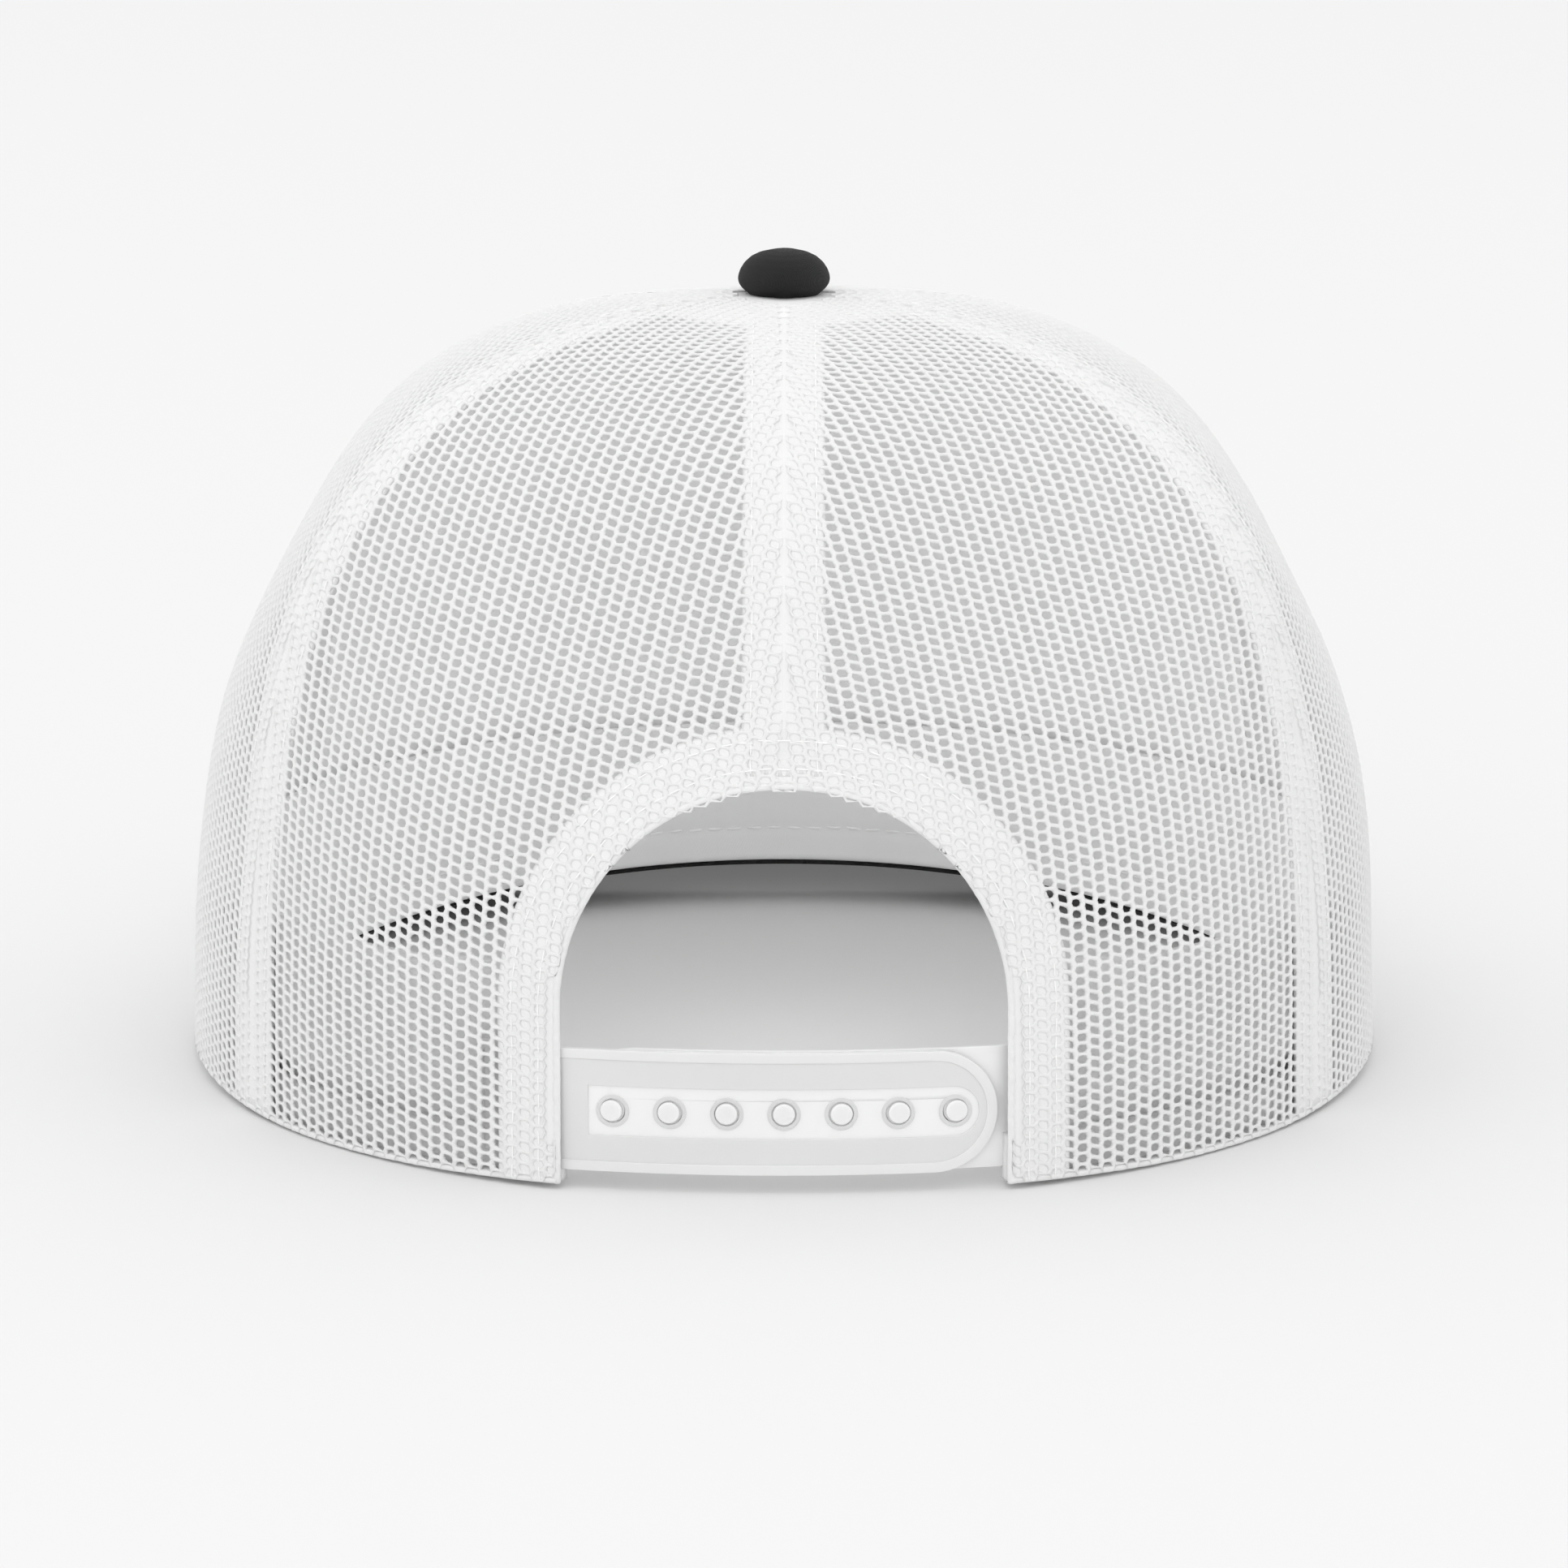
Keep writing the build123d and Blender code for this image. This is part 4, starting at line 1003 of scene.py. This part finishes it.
def strap(name, side, pieces, node, end_node, radius, depth_end):
    """Flat pieces, cut across every millimetre and bent onto the cap."""
    bm = bmesh.new()
    for me, off in pieces:
        part = bmesh.new()
        part.from_mesh(me)
        bmesh.ops.remove_doubles(part, verts=part.verts, dist=1e-4)
        for x in np.arange(-30.0, 46.0, 1.25):
            geom = part.verts[:] + part.edges[:] + part.faces[:]
            bmesh.ops.bisect_plane(part, geom=geom, plane_co=(x + 0.013, 0, 0), plane_no=(1, 0, 0), dist=1e-5)
        for v in part.verts:
            v.co.z += off
        tmp = bpy.data.meshes.new("tmp_part")
        part.to_mesh(tmp)
        part.free()
        bm.from_mesh(tmp)
        bpy.data.meshes.remove(tmp)
        bpy.data.meshes.remove(me)
    bmesh.ops.recalc_face_normals(bm, faces=bm.faces)
    co = np.array([v.co[:] for v in bm.verts])
    x, y, d = co[:, 0], co[:, 1], co[:, 2]
    z = S_MID + y
    flat_z = np.full_like(x, S_MID - LIFT)
    out = np.zeros_like(co)
    # moving length: round the strap's own arc; x runs toward the root at +x
    ang = np.arcsin(np.clip(x / radius, -1, 1))
    rr = radius + d
    on_arc = np.stack([rr * np.sin(ang), STRAP_C + rr * np.cos(ang), z], -1)
    inside = surf_xz(np.clip(x, 20, 60), flat_z, np.full_like(x, depth_end))
    nrm = normal(theta_at(np.clip(x, 20, 60), flat_z), tau_of(flat_z))
    on_cap = inside + nrm * d[:, None]
    on_cap[:, 2] = z
    k = np.clip((x - (PX - 2.5)) / 5.0, 0, 1)
    k = (k * k * (3 - 2 * k))[:, None]
    out = on_arc * (1 - k) + on_cap * k
    out[:, 0] *= side
    for v, c in zip(bm.verts, place(out)):
        v.co = c
    if side < 0:
        bmesh.ops.reverse_faces(bm, faces=bm.faces)
    me = bpy.data.meshes.new(name)
    bm.to_mesh(me)
    bm.free()
    me.polygons.foreach_set("use_smooth", [True] * len(me.polygons))
    o = bpy.data.objects.new(name, me)
    bpy.context.scene.collection.objects.link(o)
    me.materials.append(M_PLASTIC)
    mod_pts = []
    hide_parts(node, end_node)
    s = Vector(place(np.array([[side * (PX + 2.2), 0, 0]]))[0])
    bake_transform(o)
    return o


HOLES = [(i - 3) * 8.0 for i in range(7)]
hole_loops = [circle(x, 0, HOLE_R) for x in HOLES]
base = flat_shape([outline(0.0, END_X, -TIP)] + hole_loops, 0.78, 0.10)
frame_outline = outline(0.0, END_X, -TIP)
field = flat_shape([outline(1.35, END_X, -TIP), capsule(-27.4, 27.5, CHANNEL / 2)], 0.22, 0.06)
rim = flat_shape([outline(0.0, END_X, -TIP), outline(1.25, END_X, -TIP)], 0.42, 0.12)
collars = [(flat_shape([circle(x, 0, HOLE_R + 0.42), circle(x, 0, HOLE_R)], 0.16, 0.05), 0.38) for x in HOLES]
strap("strap_holes", 1, [(base, 0.0), (field, 0.42), (rim, 0.44)] + collars,
      "hole_strap", "hole_strap_end", STRAP_R, 2.3)

base = flat_shape([outline(0.0, END_X, -TIP)], 0.78, 0.10)
rim = flat_shape([outline(0.0, END_X, -TIP), outline(1.25, END_X, -TIP)], 0.12, 0.04)
pegs = []
for x in HOLES:
    pegs.append((flat_shape([circle(x, 0, 1.68)], 0.9, 0.16), 0.80))
    pegs.append((flat_shape([circle(x, 0, PEG_R * 0.82)], 1.2, 0.08), 0.9))
    pegs.append((flat_shape([circle(x, 0, PEG_R)], 0.55, 0.24), 1.62))
strap("strap_pegs", -1, [(base, 0.0), (rim, -0.42)] + pegs,
      "peg_strap", "peg_strap_end", STRAP_R - STEP, 3.6)

# --------------------------------------------------------- floor, light, camera
def turned(name, profile, n=160):
    """A surface of revolution about the vertical axis, in metres."""
    ring = np.linspace(0, 2 * math.pi, n + 1)[:-1]
    verts, faces = [], []
    for r, z in profile:
        verts += [(r * math.cos(t), r * math.sin(t), z) for t in ring]
    for i in range(len(profile) - 1):
        for j in range(n):
            a, b = i * n + j, i * n + (j + 1) % n
            faces.append((a, b, b + n, a + n))
    if profile[0][0] < 0.5:
        faces.append(tuple(range(n))[::-1])
    me = bpy.data.meshes.new(name)
    me.from_pydata(verts, [], faces)
    me.update()
    me.polygons.foreach_set("use_smooth", [True] * len(me.polygons))
    o = bpy.data.objects.new(name, me)
    bpy.context.scene.collection.objects.link(o)
    return fix_normals(o)


def paper(name, tone):
    m = bpy.data.materials.new(name)
    m.use_nodes = True
    q = m.node_tree.nodes["Principled BSDF"]
    q.inputs["Base Color"].default_value = (tone, tone, tone, 1)
    q.inputs["Roughness"].default_value = 0.95
    q.inputs["Specular IOR Level"].default_value = 0.1
    return m


floor = turned("studio_floor", [(0.4, 0.0), (1.0, 0.0), (3.0, 0.0), (7.0, 0.0)])
floor.data.materials.append(paper("studio_paper", 0.757))
bend = [(3.6 + 3.4 * math.sin(a), 0.002 + 3.4 - 3.4 * math.cos(a)) for a in np.linspace(0, math.pi / 2, 30)]
wall = turned("studio_wall", bend + [(7.0, 9.0)])
wall.data.materials.append(paper("studio_wall_paper", 0.80))
wall.visible_diffuse = False
wall.visible_shadow = False
wall.visible_glossy = False
wall.visible_transmission = False

world = bpy.data.worlds.new("studio")
bpy.context.scene.world = world
world.use_nodes = True
world.node_tree.nodes["Background"].inputs["Color"].default_value = (1, 1, 1, 1)
world.node_tree.nodes["Background"].inputs["Strength"].default_value = 1.10


def area(name, size, power, at, look, size_y=None):
    L = bpy.data.lights.new(name, "AREA")
    L.shape = "RECTANGLE"
    L.size = size
    L.size_y = size_y or size
    L.energy = power
    o = bpy.data.objects.new(name, L)
    o.location = at
    o.rotation_euler = (Vector(look) - Vector(at)).to_track_quat("-Z", "Y").to_euler()
    bpy.context.scene.collection.objects.link(o)
    return o


mid_y = AXIS_Y / 1000
area("key_top", 4.0, 15, (0.3, mid_y - 0.2, 3.2), (0, mid_y - 0.2, 0.0))
area("fill_back", 1.8, 9, (0.4, mid_y + 2.6, 1.0), (0, mid_y, 0.06))
glow = bpy.data.lights.new("inner_bounce", "POINT")
glow.energy = 0.031
glow.shadow_soft_size = 0.03
glow_o = bpy.data.objects.new("inner_bounce", glow)
glow_o.location = (0.0, mid_y + 0.01, 0.048)
glow_o.visible_camera = False
bpy.context.scene.collection.objects.link(glow_o)

# light reflected under the visor, so that the strip of floor under the front rim isn't black
fill = bpy.data.lights.new("visor_bounce", "AREA")
fill.shape = "RECTANGLE"
fill.size = 0.13
fill.size_y = 0.03
fill.energy = 0.0022
fill_o = bpy.data.objects.new("visor_bounce", fill)
fill_o.location = (0.0, -0.074, 0.003)
fill_o.visible_camera = False
bpy.context.scene.collection.objects.link(fill_o)

cam = bpy.data.cameras.new("camera")
cam_o = bpy.data.objects.new("camera", cam)
bpy.context.scene.collection.objects.link(cam_o)
ELEV, DIST, AIM_Z = math.radians(12.12), 1.0106, 0.03986
cam_o.location = (0.0, mid_y + DIST * math.cos(ELEV), AIM_Z + DIST * math.sin(ELEV))
aim = Vector((0.0, mid_y, AIM_Z))
cam_o.rotation_euler = (aim - cam_o.location).to_track_quat("-Z", "Y").to_euler()
cam.sensor_width = 36.0
cam.lens = 8.0909 * DIST * 1000 / 1932 * 36.0
cam.clip_start = 0.05
cam.clip_end = 50.0
bpy.context.scene.camera = cam_o
bpy.context.scene.view_settings.view_transform = "Standard"
bpy.context.scene.cycles.max_bounces = 14
bpy.context.scene.cycles.diffuse_bounces = 9
